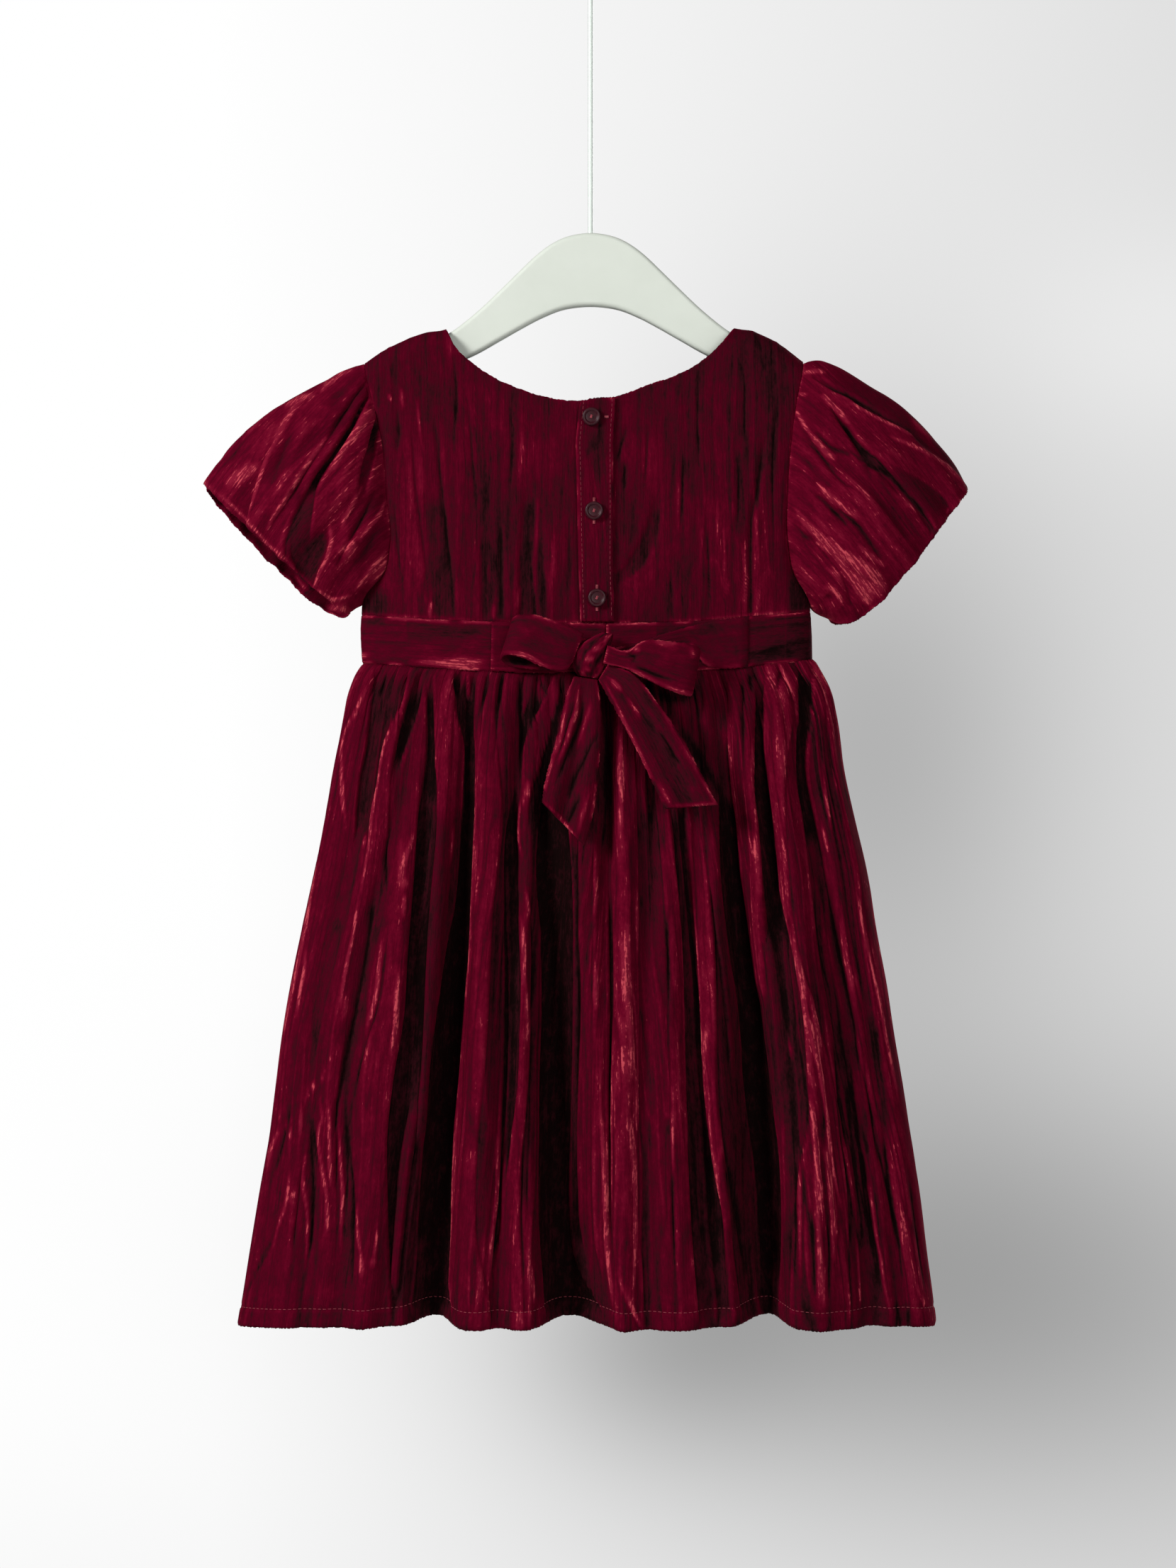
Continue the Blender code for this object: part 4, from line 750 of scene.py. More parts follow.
# Lines in the cloth: rise in mm, change of tone, which is a painted highlight where it is up and painted
# shade where it is down, half widths left and right in pixels, and their paths, each ended by a
# semicolon.
SKIRT_CREASES = (
    # painted shadow of the bow's tails and loops on the skirt
    (0.0, -0.5, 7, 5,
     "802,935 798,962 792,992 777,1055 767,1092 762,1149 770,1190;"
     "940,985 959,1024 984,1064 1009,1105 1020,1160 1022,1200"),
    (0.0, -0.42, 15, 13,
     "840,955 852,990 858,1030 858,1075 848,1120 838,1170 836,1210; 765,1140 780,1175 800,1215"),
    (0.6, 0.75, 3, 3,
     "858,1540 856,1620 856,1690 858,1760 862,1810 868,1855; 886,1570 892,1657 894,1743 890,1848;"
     "1146,1540 1149,1620 1153,1709 1158,1790 1161,1850; 1163,1590 1168,1680 1175,1780"),
    # painted shadow under the bow's right loop
    (0.0, -0.5, 9, 9,
     "885,952 910,972 940,984 962,986 980,972 990,950"),
    (0.6, 0.55, 2, 2,
     "520,960 505,1000 489,1030 483,1070 485,1150;"
     "578,955 566,998 545,1040 534,1100 526,1142 519,1204 507,1267; 486,1100 484,1125 489,1167;"
     "503,1279 499,1317 490,1358 484,1392 480,1425; 540,1317 536,1358 532,1400 524,1433 517,1458;"
     "667,1267 667,1317 663,1367 659,1417; 747,1100 745,1121 734,1142 732,1175 736,1200 742,1221;"
     "734,1283 739,1333 740,1375 742,1425 742,1475; 742,1258 747,1296;"
     "650,1560 645,1625 638,1733 636,1792 640,1862;"
     "707,1500 703,1583 699,1637 701,1675 692,1750 692,1792;"
     "968,1142 974,1250 980,1300 985,1358 989,1408; 839,1362 841,1425; 1112,1462 1117,1496;"
     "947,1567 950,1658; 1012,1567 1020,1625 1026,1658; 866,1500 865,1550 864,1633 865,1696;"
     "891,1600 894,1642 896,1696; 1151,1500 1158,1546 1168,1608 1174,1654 1182,1692 1185,1715;"
     "1128,1619 1131,1654 1131,1715 1130,1769 1130,1827; 1137,1692 1139,1769 1143,1827;"
     "1153,1715 1155,1769 1155,1838; 1208,1746 1212,1800 1214,1846; 1293,1815 1304,1842;"
     "1160,1070 1166,1130 1172,1165; 1159,1160 1168,1202;"
     "1205,1245 1222,1330 1239,1405 1256,1495 1266,1550; 463,1500 453,1525 438,1537 428,1562;"
     "426,1562 424,1604; 432,1625 428,1667 434,1717 433,1767 429,1800;"
     "409,1654 403,1700 392,1733 384,1767; 392,1571 409,1596 415,1612;"
     "503,1696 506,1746 510,1775 509,1808; 532,1717 529,1758 524,1792; 748,1785 753,1840;"
     "638,1162 636,1196 633,1225; 895,1250 897,1350"),
    (0.9, 0.7, 2.2, 2.2,
     "584,1171 576,1200 567,1225 563,1246; 571,1258 569,1296; 563,1367 559,1408 557,1446 551,1483;"
     "451,1550 455,1575 449,1600 451,1629 457,1658 461,1700 462,1750;"
     "463,1554 465,1592 465,1637 467,1675; 478,1583 480,1633 483,1679 482,1725 481,1775;"
     "397,1587 384,1621 378,1646; 876,1030 877,1100 877,1190;"
     "884,1300 883,1342 882,1371 882,1400 887,1437 889,1492 887,1525;"
     "849,1567 851,1617 854,1675 856,1720 857,1760 866,1830;"
     "1112,1300 1126,1350 1128,1383 1132,1417 1141,1446 1145,1475 1153,1508 1157,1533 1162,1571 "
     "1168,1633; 1132,1408 1139,1483 1141,1533 1147,1592 1153,1654 1155,1680 1158,1715 1159,1746;"
     "1162,1654 1168,1692 1176,1731 1178,1750;"
     "1220,1661 1230,1700 1235,1738 1243,1777 1247,1808 1256,1854;"
     "872,1785 878,1815 890,1845 903,1872; 434,1337 430,1371 424,1400 420,1433;"
     "451,1212 438,1279 424,1350 409,1417 401,1467"),
    (0.8, 0.45, 5, 5,
     "564,1238 570,1246 576,1250; 488,1400 486,1425 482,1448; 1126,1345 1129,1375 1131,1400;"
     "1153,1660 1156,1690; 877,1060 877,1110; 747,1105 744,1125; 511,1188 517,1188;"
     "1003,1446 996,1475 997,1496; 510,1775 512,1800; 524,1775 526,1790"),
    (0.4, 0.15, 9, 9,
     "420,1810 450,1825 490,1820; 1145,1430 1152,1500; 1165,1640 1175,1720; 413,1680 410,1700;"
     "566,1180 562,1240"),
    (-1.2, -0.3, 2.5, 2.5,
     "1174,1562 1189,1635 1197,1681; 1205,1558 1212,1615 1220,1673 1228,1731;"
     "1235,1600 1251,1673 1266,1738 1274,1808; 440,1667 440,1733 434,1783; 442,1583 447,1637;"
     "476,1596 474,1687; 492,1600 497,1667 501,1733; 1144,1700 1148,1770 1150,1830;"
     "1124,1640 1124,1720 1122,1800; 1165,1700 1168,1770 1168,1830; 1190,1720 1196,1780 1200,1840"),
    (-1.5, -0.35, 3, 3,
     "547,1320 537,1400 519,1465 503,1525 490,1600; 412,1560 396,1620 388,1655;"
     "428,1640 418,1720 414,1760; 475,1545 474,1600; 488,1560 490,1640 488,1720;"
     "497,1640 498,1740 496,1820; 545,1180 545,1260; 691,950 686,975 676,1010;"
     "709,948 706,975 700,1010; 733,955 734,1000 733,1110; 728,1110 724,1150 719,1200;"
     "748,1280 752,1340 751,1400 752,1500 746,1560; 738,1590 735,1700 739,1812;"
     "812,1200 813,1400 812,1500 810,1560; 812,1600 814,1680 813,1740; 866,1300 866,1440;"
     "861,1480 861,1700; 941,1290 943,1350 944,1420; 948,1650 950,1720 952,1770;"
     "1000,1250 1008,1330 1014,1420; 1047,955 1048,1000 1050,1100; 1246,1590 1256,1690 1266,1760;"
     "1163,1000 1176,1100; 387,1740 376,1765 360,1795 349,1825; 1200,1500 1204,1560 1212,1620;"
     "1065,1100 1068,1150; 1182,1520 1182,1570"),
    (-2.0, -0.35, 4, 4,
     "530,1250 518,1340 503,1420 489,1490 470,1600; 669,955 665,1000 664,1030;"
     "437,1560 441,1680 439,1765; 985,1540 998,1660 1010,1790;"
     "1080,1060 1084,1110 1096,1220 1100,1250; 1165,1230 1184,1340 1203,1430 1211,1470;"
     "1176,1450 1185,1560 1192,1620; 1215,1500 1228,1560 1240,1640; 1215,1620 1222,1690 1238,1790;"
     "1280,1640 1298,1760 1306,1820; 1020,1600 1040,1700 1056,1800; 1150,1260 1160,1340 1172,1400;"
     "792,950 790,965 792,980; 640,948 642,960 642,975; 918,950 916,990 925,1030;"
     "985,955 990,985 990,1010; 1100,945 1098,960 1096,975; 545,950 540,965 536,985; 760,955 768,975;"
     "1058,950 1060,975"),
)
BODICE_EDGES = {
    "dart_1": "596,690 600,750 604,800 609,880",
    "dart_1_end": "624,690 632,750 640,800 646,880",
    "dart_2": "680,740 679,800 682,880",
    "dart_2_end": "708,740 709,800 712,880",
    "dart_3": "739,680 735,750 732,800 730,880",
    "dart_3_end": "754,680 757,750 753,800 762,880",
    "dart_4_end": "768,740 770,800 776,880",
    "puff_end": "800,740 800,800 798,880",
    "crescent": "924,690 916,730 905,757 893,780 880,800 864,812",
    "crescent_end": "932,690 932,720 930,750 920,776 908,798 890,815 868,826",
    "dart_5": "1077,600 1070,650 1062,700 1056,750 1055,870",
    "dart_5_end": "1085,600 1078,650 1071,700 1063,750 1064,870",
    "shade_5": "1034,620 1036,700 1030,760",
    "under_left": "480,800 480,885",
    "under_left_end": "549,800 547,830 552,885",
    "under_right": "1112,700 1111,800 1110,885",
    "under_right_end": "1180,700 1180,885",
}
# The bodice's faces: painted shade in the darts and the crescent, and painted shadow under each sleeve
BODICE_FACES = table("""
    tone rise from to  left        right
    0.27 -0.5 700  885 dart_1      dart_1_end
    0.52 0.5  770  885 dart_1_end  dart_2
    0.3  -0.5 750  885 dart_2      dart_2_end
    0.51 0.5  790  885 dart_2_end  dart_3
    0.22 -1.2 700  885 dart_3      dart_3_end
    0.34 -0.3 745  885 dart_3_end  dart_4_end
    0.54 0.8  740  830 dart_4_end  puff_end
    0.26 -1.2 710  822 crescent    crescent_end
    0.36 -0.3 630  760 shade_5     dart_5
    0.16 -1.8 630  885 dart_5      dart_5_end
    0.14 0    830  900 under_left  under_left_end
    0.2  0    785  900 under_right under_right_end
""")
BODICE_CREASES = (
    (0.4, 0.4, 2, 2,
     "759,690 757,750 755,850; 1052,780 1052,870; 588,560 592,600 598,640"),
    (0.3, 0.22, 2, 2,
     "957,650 958,700 957,750; 978,700 977,745; 1012,700 1012,775; 990,640 993,700 989,790 987,880;"
     "735,560 736,620 733,700; 1021,740 1022,800 1024,850; 1034,705 1033,728; 1028,815 1026,842"),
    (0.6, 0.5, 3, 3,
     "566,545 569,580; 549,555 552,568; 733,825 729,872; 609,848 606,876; 697,850 696,880"),
    (-1.0, -0.28, 4, 4,
     "580,605 583,640 586,680 592,730 600,790 606,850;"
     "612,590 617,620 620,660 626,710 634,790 642,860; 886,598 876,630 870,652; 882,650 880,692;"
     "705,730 708,800 708,865; 560,575 563,610 560,640"),
    (-0.7, -0.22, 2.5, 2.5,
     "1051,540 1050,580 1049,622; 965,640 962,700 960,745; 998,740 1000,810 998,880;"
     "1040,640 1042,700 1038,760; 660,560 666,640 672,720; 556,700 560,760 572,870;"
     "640,500 644,560 640,620; 720,560 722,640 718,700; 1096,560 1090,660 1092,760; 945,800 950,880;"
     "985,520 984,600 986,660; 915,600 910,680"),
    (0.5, 0.1, 8, 8,
     "650,600 652,700 655,790; 590,640 596,720; 780,760 784,830; 900,830 930,800 950,760;"
     "950,540 955,600"),
)
SLEEVE_EDGES = {
    "ridge_1": "500,522 480,530 465,543 452,558 430,568 415,580 404,597 395,613 385,630 375,650 "
        "369,668 362,692 356,712 349,738",
    "line_1": "515,538 495,566 478,592 464,616 450,637 432,662 414,690 400,712 386,734 376,752",
    "gap_1": "517,556 505,577 493,598 478,620 463,643 448,664 437,683 426,704 410,735 400,765",
    "gap_1_end": "521,560 511,582 501,603 488,625 473,648 459,668 449,687 444,706 440,740 436,790",
    "gap_2": "531,580 524,605 518,630 510,655 505,680",
    "gap_2_end": "536,590 533,620 528,645 522,670 516,690",
    "hollow": "412,740 408,780 415,800 430,828",
    "ridge_2": "465,740 466,762 460,785 450,805 441,830",
    "top": "1150,528 1180,546 1205,558 1228,572 1255,588 1285,606 1305,626 1330,648 1362,682",
    "top_under": "1146,534 1172,550 1196,562 1216,575 1245,592",
    "far": "1420,500 1420,900",
    "gap_3": "1172,578 1184,598 1196,616 1208,636 1222,657",
    "gap_3_end": "1182,578 1195,596 1207,613 1222,632 1247,652",
    "gap_4": "1200,640 1222,657 1240,670 1262,692 1285,714 1302,737 1312,752",
    "gap_4_end": "1216,635 1240,648 1256,665 1276,688 1296,709 1309,728 1319,745",
    "shade_4_end": "1240,648 1290,672 1330,700 1342,720",
}
# The sleeves' faces: painted light on the ridges and painted shade in the gaps between them
SLEEVE_FACES = table("""
    tone rise from to  left      right
    0.63 1.5  540  742 ridge_1   line_1
    0.58 0.5  548  742 line_1    gap_1
    0.04 -3   560  700 gap_1     gap_1_end
    0.25 -2   700  790 gap_1     gap_1_end
    0.66 1.5  584  700 gap_1_end gap_2
    0.08 -2.5 586  645 gap_2     gap_2_end
    0.28 -1   645  692 gap_2     gap_2_end
    0.24 -2.5 750  830 hollow    ridge_2
    0.42 -0.5 532  690 top       far
    0.05 -2.5 538  590 top_under top
    0.04 -3   582  655 gap_3     gap_3_end
    0.34 -0.5 660  730 gap_4_end shade_4_end
    0.1  -2.5 645  748 gap_4     gap_4_end
""")
SLEEVE_CREASES = (
    (1.0, 0.9, 3.5, 3.5,
     "500,522 480,530 465,543 452,558; 430,567 415,580 404,597 395,613 385,630;"
     "402,574 430,562 446,560; 531,577 520,585 510,597 502,612 490,626;"
     "464,740 466,760 460,785 450,805 441,832; 1158,555 1172,570 1185,583 1197,602;"
     "1140,610 1152,622 1166,638 1180,650; 1165,757 1185,776 1205,797 1225,812 1242,822;"
     "1135,762 1155,768 1175,778 1187,794 1202,814 1216,832 1221,848"),
    (0.6, 0.78, 2.2, 2.2,
     "385,630 375,650 369,668 362,692 356,712 350,737;"
     "462,618 448,636 430,662 412,690 398,712 385,730 376,750; 490,626 479,642 470,664;"
     "536,600 541,625 545,655 546,690; 480,746 490,725 500,705 512,684;"
     "545,700 535,725 520,745 505,765; 289,684 325,710 350,735 380,770 402,788 425,824 440,836;"
     "447,830 460,840 475,845 497,838; 1200,568 1235,587 1275,607 1292,616;"
     "1250,614 1285,628 1320,646 1345,668 1362,686; 1235,663 1255,680 1285,713 1315,746;"
     "1122,578 1135,600 1142,612; 1130,528 1150,524 1165,526; 1124,555 1140,558; 1340,715 1336,726"),
    (0.6, 0.5, 4, 4,
     "550,770 530,795 515,815 498,836; 556,778 540,800 520,826;"
     "1150,680 1166,696 1182,710 1197,723 1212,731; 1120,715 1135,735 1150,750 1167,764 1182,780;"
     "1165,800 1182,812 1192,828 1199,852; 1163,826 1178,834 1190,855; 1190,778 1212,800 1232,818;"
     "1210,770 1236,790 1250,800; 1284,590 1300,606 1316,622; 1120,575 1126,588"),
    (0.8, 0.4, 9, 9,
     "1190,775 1215,797 1240,815; 1200,800 1222,830 1232,852; 1215,800 1240,822 1252,836"),
    (0.8, 0.45, 9, 9,
     "316,682 345,668 372,658; 478,782 490,774 498,762; 1204,826 1220,838 1226,852;"
     "455,856 475,858 492,856"),
    (-2.0, -0.35, 4, 4,
     "515,540 495,568 478,594 462,620; 450,638 432,664 414,694 402,708;"
     "1228,574 1255,590 1285,608 1305,628 1335,654; 1150,608 1166,626 1182,636 1202,642;"
     "1130,600 1146,626 1161,646 1176,666 1192,682 1206,691; 1150,697 1176,721 1196,742;"
     "530,690 512,730 492,765 474,800; 1118,738 1140,760 1160,775; 1185,810 1194,830 1202,856;"
     "1180,716 1212,744 1245,790"),
    (-1.2, -0.25, 7, 7,
     "492,548 478,562 465,580; 1165,838 1176,848; 1230,690 1262,730 1284,762;"
     "420,590 400,640 384,690; 350,610 330,640 312,660; 1135,640 1150,668 1172,690;"
     "540,730 520,770 500,800"),
    (1.2, 0.1, 9, 9,
     "440,590 424,620 408,660 392,700; 500,640 486,670 478,700; 480,720 490,750 500,790;"
     "1230,620 1262,640 1300,664; 1180,665 1210,690 1240,724 1270,760; 1150,720 1180,750 1210,780;"
     "350,590 330,615 312,645; 390,590 380,620 372,645"),
)
BAND_EDGES = {
    "left": "480,850 480,960",
    "left_end": "572,850 578,960",
    "tie": "694,850 694,960",
    "right": "925,850 925,960",
    "side": "1108,850 1108,960",
    "far": "1180,850 1180,960",
}
# The waistband's tone: a painted highlight low on the left, and darker to the right
BAND_FACES = table("""
    tone rise from to  left     right
    0.45 0    850  960 left     left_end
    0.3  0    850  915 left_end tie
    0.55 0    925  942 left_end tie
    0.28 0    850  960 right    side
    0.22 0    850  960 side     far
""")
BAND_CREASES = (
    (0.2, 0.4, 2, 2,
     "538,873 560,873 600,877 650,880 692,877; 515,938 560,939 600,944 690,948; 1060,870 1105,865"),
    (0.2, 0.5, 7, 6,
     "575,934 600,935 650,934 692,936; 590,934 640,936 690,934; 512,920 516,930"),
    (0.1, 0.18, 8, 8,
     "640,912 670,908 690,905; 575,900 600,912 625,915"),
    (-0.4, -0.12, 9, 9,
     "590,893 640,893 680,893; 1060,925 1120,920"),
    (-0.5, -0.3, 5, 5,
     "512,880 530,875 545,876"),
)
BOW_CREASES = (
    (0.7, 0.85, 2.5, 2.5,
     "806,958 802,980 798,1000 793,1030 785,1060 775,1090 768,1115;"
     "818,965 814,985 812,1005 805,1025 798,1050 786,1080;"
     "850,955 865,985 880,1015 895,1045 906,1070 916,1096 926,1120 938,1142;"
     "938,1140 975,1136 1012,1134; 765,1130 780,1145 795,1160 812,1184;"
     "708,925 720,922 735,923 750,928 765,938 782,946; 883,940 900,950 920,960 945,972 966,978;"
     "930,897 960,887 1000,876 1050,870"),
    (0.5, 0.5, 4, 4,
     "862,962 870,970 878,978; 884,984 892,996 899,1006 904,1018; 835,985 830,1010 822,1035 812,1060;"
     "833,1110 822,1150 816,1180; 855,955 866,962 878,974;"
     "935,1005 950,1030 968,1060 985,1090 1006,1122; 925,1100 938,1120 948,1136; 893,915 905,918;"
     "975,905 978,930; 690,885 688,945"),
    (-1.5, -0.4, 4, 4,
     "930,1030 945,1055 960,1080; 811,990 803,1020 793,1050 780,1080;"
     "824,990 818,1020 806,1050 792,1085 782,1110; 845,1030 825,1070 810,1100 802,1130;"
     "820,1120 806,1150 800,1165; 712,934 730,936 750,938; 896,940 920,950 950,962;"
     "884,920 895,928 890,934"),
    (0.5, 0.12, 8, 8,
     "880,960 890,985 905,1010; 975,1110 990,1120; 730,885 745,895 720,905; 930,920 950,940;"
     "930,905 960,915"),
)


# ---- Reading the tables ----

def along(rows, key, column, at):
    """The named column at a value of the key column, on a smooth curve through the rows."""
    knots = np.array([row[key] for row in rows], float)
    values = np.array([row[column] for row in rows], float)
    if knots[0] > knots[-1]:
        knots, values = knots[::-1], values[::-1]
    slopes = np.gradient(values, knots)
    at = np.clip(np.asarray(at, float), knots[0], knots[-1])
    i = np.clip(np.searchsorted(knots, at, side="right") - 1, 0, len(knots) - 2)
    span = knots[i + 1] - knots[i]
    t = (at - knots[i]) / span
    return (
        (1 + 2 * t) * (1 - t) ** 2 * values[i]
        + t * (1 - t) ** 2 * span * slopes[i]
        + t * t * (3 - 2 * t) * values[i + 1]
        + t * t * (t - 1) * span * slopes[i + 1]
    )


def straight(rows, key, column, at):
    """The named column at a value of the key column, in straight runs between the rows."""
    knots = np.array([row[key] for row in rows], float)
    values = np.array([row[column] for row in rows], float)
    order = np.argsort(knots)
    return np.interp(at, knots[order], values[order])


def numbered(rows):
    """The rows with their number as the column "at"."""
    return [dict(row, at=i) for i, row in enumerate(rows)]


def curve(spots, at):
    """A smooth curve through pairs of numbers, at counts from 0 at the first pair."""
    rows = numbered(named("a b", spots))
    return along(rows, "at", "a", at), along(rows, "at", "b", at)


def graded(runs):
    """Values in runs of even steps, each given by its start, end and number of steps."""
    parts = [np.linspace(start, end, steps + 1)[:-1] for start, end, steps in runs]
    return np.append(np.concatenate(parts), runs[-1][1])


def unit(vectors):
    """The vectors at length 1."""
    return vectors / np.maximum(np.linalg.norm(vectors, axis=-1), 1e-9)[..., None]


def bell(distance, reach):
    """1 at no distance, and fading smoothly to both sides."""
    return np.exp(-((distance / reach) ** 2))


def round_turn(sides):
    """The angles of a full turn in even steps."""
    return np.linspace(0, 2 * math.pi, sides + 1)[:-1]


# ---- The garment's surfaces. Points are (x, y, z) in mm, y outwards from the middle plane ----

def body_depth(z, across):
    """How far the bodice stands out at a height, by the share across from middle (0) to side (1)."""
    middle = along(BODICE, "z", "middle", z)
    edge = np.maximum(along(BODICE, "z", "edge", z), 0.0)
    oval = np.cos(np.clip(np.abs(across), 0, 1) * math.pi / 2) ** FLAT
    return edge + (middle - edge) * oval


def side_at(z, to_left):
    """The bodice's side edge at a height: where to_left holds, the left one."""
    return np.where(to_left, -along(BODICE, "z", "left", z), along(BODICE, "z", "right", z))


def body_points(across, z):
    """Points of the bodice's middle layer, with no rounding at the shoulder."""
    return side_at(z, across < 0) * np.sin(across * math.pi / 2), body_depth(z, across)


def shoulder_turn(x, z):
    """1 on the flat of the back, falling to 0 at the shoulder's ridge."""
    below = np.clip((along(SHOULDER, "x", "z", x) - z) / SHOULDER_ROUND, 0, 1)
    return np.sqrt(1 - (1 - below) ** 2)


def across_at(x, z):
    """The share across the body at a place."""
    return np.arcsin(np.clip(x / side_at(z, x < 0), -1, 1)) / (math.pi / 2)


def band_points(x, z, out):
    """Points that lie on the waist at the given places, moved out from it."""
    return np.stack([x, body_depth(z, across_at(x, z)) + out, z], -1)


def bodice_panel(neck, first, last, count, rows):
    """A bodice panel between two shares across, from neckline and shoulder down to the waistband."""
    neck_left = across_at(np.array(NECK_LEFT_X), np.array(NECK_POINT_Z))
    neck_right = across_at(np.array(NECK_RIGHT_X), np.array(NECK_POINT_Z))
    inner = NECK_CORNER / BODY_HALF * 2 / math.pi
    corners = (neck_left, neck_left + inner, neck_right - inner, neck_right)
    stops = sorted({first, last, *(float(s) for s in corners if first < s < last)})
    shares = [first]
    for a, b in zip(stops, stops[1:]):
        steps = max(1, round(count * (b - a) / (last - first)))
        shares += list(np.linspace(a, b, steps + 1)[1:])
    shares = np.array(shares)
    top = np.full(len(shares), NECK_POINT_Z)
    for _ in range(16):  # the top edge's height and place across depend on each other
        x, _depth = body_points(shares, top)
        ridge = along(SHOULDER, "x", "z", x)
        in_neck = (x > NECK_LEFT_X) & (x < NECK_RIGHT_X)
        top = 0.5 * top + 0.5 * np.where(in_neck, along(neck, "x", "z", x), ridge)
    x, _depth = body_points(shares, np.full(len(shares), WAIST_TOP_Z))
    bottom = along(WAISTBAND, "x", "top", x) + SEAM_GAP
    sheet = []
    for v in rows:
        z = top + (bottom - top) * v
        x, y = body_points(shares, z)
        sheet.append(np.stack([x, y * shoulder_turn(x, z), z], -1))
    return np.array(sheet)


def fold_depth(folds, x, drop):
    """How far the large folds draw the skirt in at a place across and a drop below the waist."""
    total = np.zeros_like(x)
    share = drop / SKIRT_DROP
    for row in folds:
        left_mid, right_mid = (row["ltop"] + row["lhem"]) / 2, (row["rtop"] + row["rhem"]) / 2
        path = named("share at depth l r", (
            (0.0, row["top"] * FOLD_TOP_IN, row["dtop"] * FOLD_TOP_DEPTH, row["ltop"], row["rtop"]),
            (0.1, row["top"], row["dtop"], row["ltop"], row["rtop"]),
            (0.5, row["mid"], row["dmid"], left_mid, right_mid),
            (1.0, row["hem"], row["dhem"], row["lhem"], row["rhem"]),
        ))
        at, depth, left, right = (along(path, "share", n, share) for n in ("at", "depth", "l", "r"))
        offset = x - at
        width = np.where(offset < 0, left, right)
        total += depth * np.exp(-np.abs(offset / width) ** FOLD_SHARP)
    return total


def armhole(side, turn):
    """The armhole's edge round a full turn from the shoulder: side is -1 left, 1 right."""
    t = (1 - np.cos(turn)) / 2
    z = ARMHOLE_TOP_Z + (ARMHOLE_LOW_Z - ARMHOLE_TOP_Z) * t
    x = along(BODICE, "z", "left" if side < 0 else "right", z)
    y = np.maximum(along(BODICE, "z", "edge", z), 0.0) * shoulder_turn(x, z)
    x = x + side * (ARMHOLE_GAP + UNDERARM_GAP * t**2)
    return np.stack([x, -np.sign(np.sin(turn)) * y, z], -1)


def sleeve_ring(rows, folds, columns, shares):
    """A sleeve's rings from armhole to opening, closed round. Y is signed here: the back is minus."""
    turn = np.linspace(0, 2 * math.pi, columns + 1)
    degrees = np.degrees(turn)
    side = np.sign(rows[0]["top_x"])
    sheet = []
    for share in [0.0, *shares]:
        top_x, top_z, low_x, low_z = (
            along(rows, "share", n, share) for n in ("top_x", "top_z", "low_x", "low_z")
        )
        depth, back, front, lean = (
            along(rows, "share", n, share) for n in ("depth", "bow_back", "bow_front", "lean")
        )
        chord = np.array([low_x - top_x, low_z - top_z])
        length = np.linalg.norm(chord)
        chord = chord / length
        outward = np.array([-chord[1], chord[0]])
        outward = outward if outward[0] * np.sign(top_x) > 0 else -outward
        inward = np.zeros_like(turn)
        grown = min(1.0, share / SLEEVE_FOLD_FULL)
        swell = SLEEVE_FOLD_START + (1 - SLEEVE_FOLD_START) * grown
        for row in folds:
            centre = row["start"] + (row["end"] - row["start"]) * share
            offset = (degrees - centre + 180) % 360 - 180
            inward += row["depth"] * swell * np.exp(-np.abs(offset / row["width"]) ** SLEEVE_FOLD_SHARP)
        fade = max(0.0, 1 - share / SLEEVE_GATHER_END)
        fade = fade * min(1.0, SLEEVE_GATHER_START + share / SLEEVE_GATHER_RISE)
        gather = SLEEVE_GATHER_HEIGHT * fade * np.cos(turn * SLEEVE_GATHERS) * np.cos(turn / 2) ** 2
        radial = 1 - (inward - gather) / (depth + SLEEVE_SPARE)
        half = np.sin(turn)
        y = -depth * np.sign(half) * np.abs(half) ** SLEEVE_ROUND * radial
        tuck = SLEEVE_TUCK * inward * np.abs(np.cos(turn)) * np.sign(np.cos(turn))
        along_chord = length / 2 * (1 - np.cos(turn)) + tuck
        bow = np.where(half > 0, back, front) * np.abs(half) ** SLEEVE_BOW_ROUND
        bow = bow * (1 - lean * np.cos(turn))
        x = top_x + chord[0] * along_chord + outward[0] * bow
        z = top_z + chord[1] * along_chord + outward[1] * bow
        sheet.append(np.stack([x, y, z], -1))
    fit = armhole(side, turn) - sheet[0]
    fade = [(1 - min(1.0, share / ARMHOLE_BLEND)) ** 2 for share in shares]
    return np.array([ring + fit * f for ring, f in zip(sheet[1:], fade)])


def strip_points(rows, across, length, fold):
    """A strip of sash through its cross sections, with lengthwise folds of the given height."""
    key = numbered(rows)
    at = np.linspace(0, len(rows) - 1, length)
    ax, az, bx, bz = (along(key, "at", n, at) for n in ("ax", "az", "bx", "bz"))
    out_a, out_b = (along(key, "at", n, at) for n in ("out_a", "out_b"))
    breadth = np.hypot(bx - ax, bz - az) / STRIP_BREADTH
    fold = fold * np.clip(at / STRIP_FOLD_FROM, 0, 1) * np.clip(breadth, 0, 1) ** 2
    sheet = []
    for u in np.linspace(0, 1, across):
        rise = fold * math.sin(u * STRIP_FOLDS * math.pi) * max(0.0, math.sin(u * math.pi)) ** 0.5
        out = out_a + (out_b - out_a) * u + rise
        sheet.append(np.stack([ax + (bx - ax) * u, out, az + (bz - az) * u], -1))
    return np.array(sheet)


def tie_points(rows, across, length):
    """A sash tie, laid on the waistband."""
    x, gap, z = np.moveaxis(strip_points(rows, across, length, 0.0), -1, 0)
    return band_points(x, z, (WALL + TIE_WALL) / 2 + gap)


def closure_shares(z):
    """The shares across where the left back ends and the right back starts, at a height."""
    middle = float(across_at(np.array(CLOSURE_X), np.array(z)))
    split = SEAM_GAP / BODY_HALF / math.pi
    return middle - split, middle + split


# ---- Crinkles ----

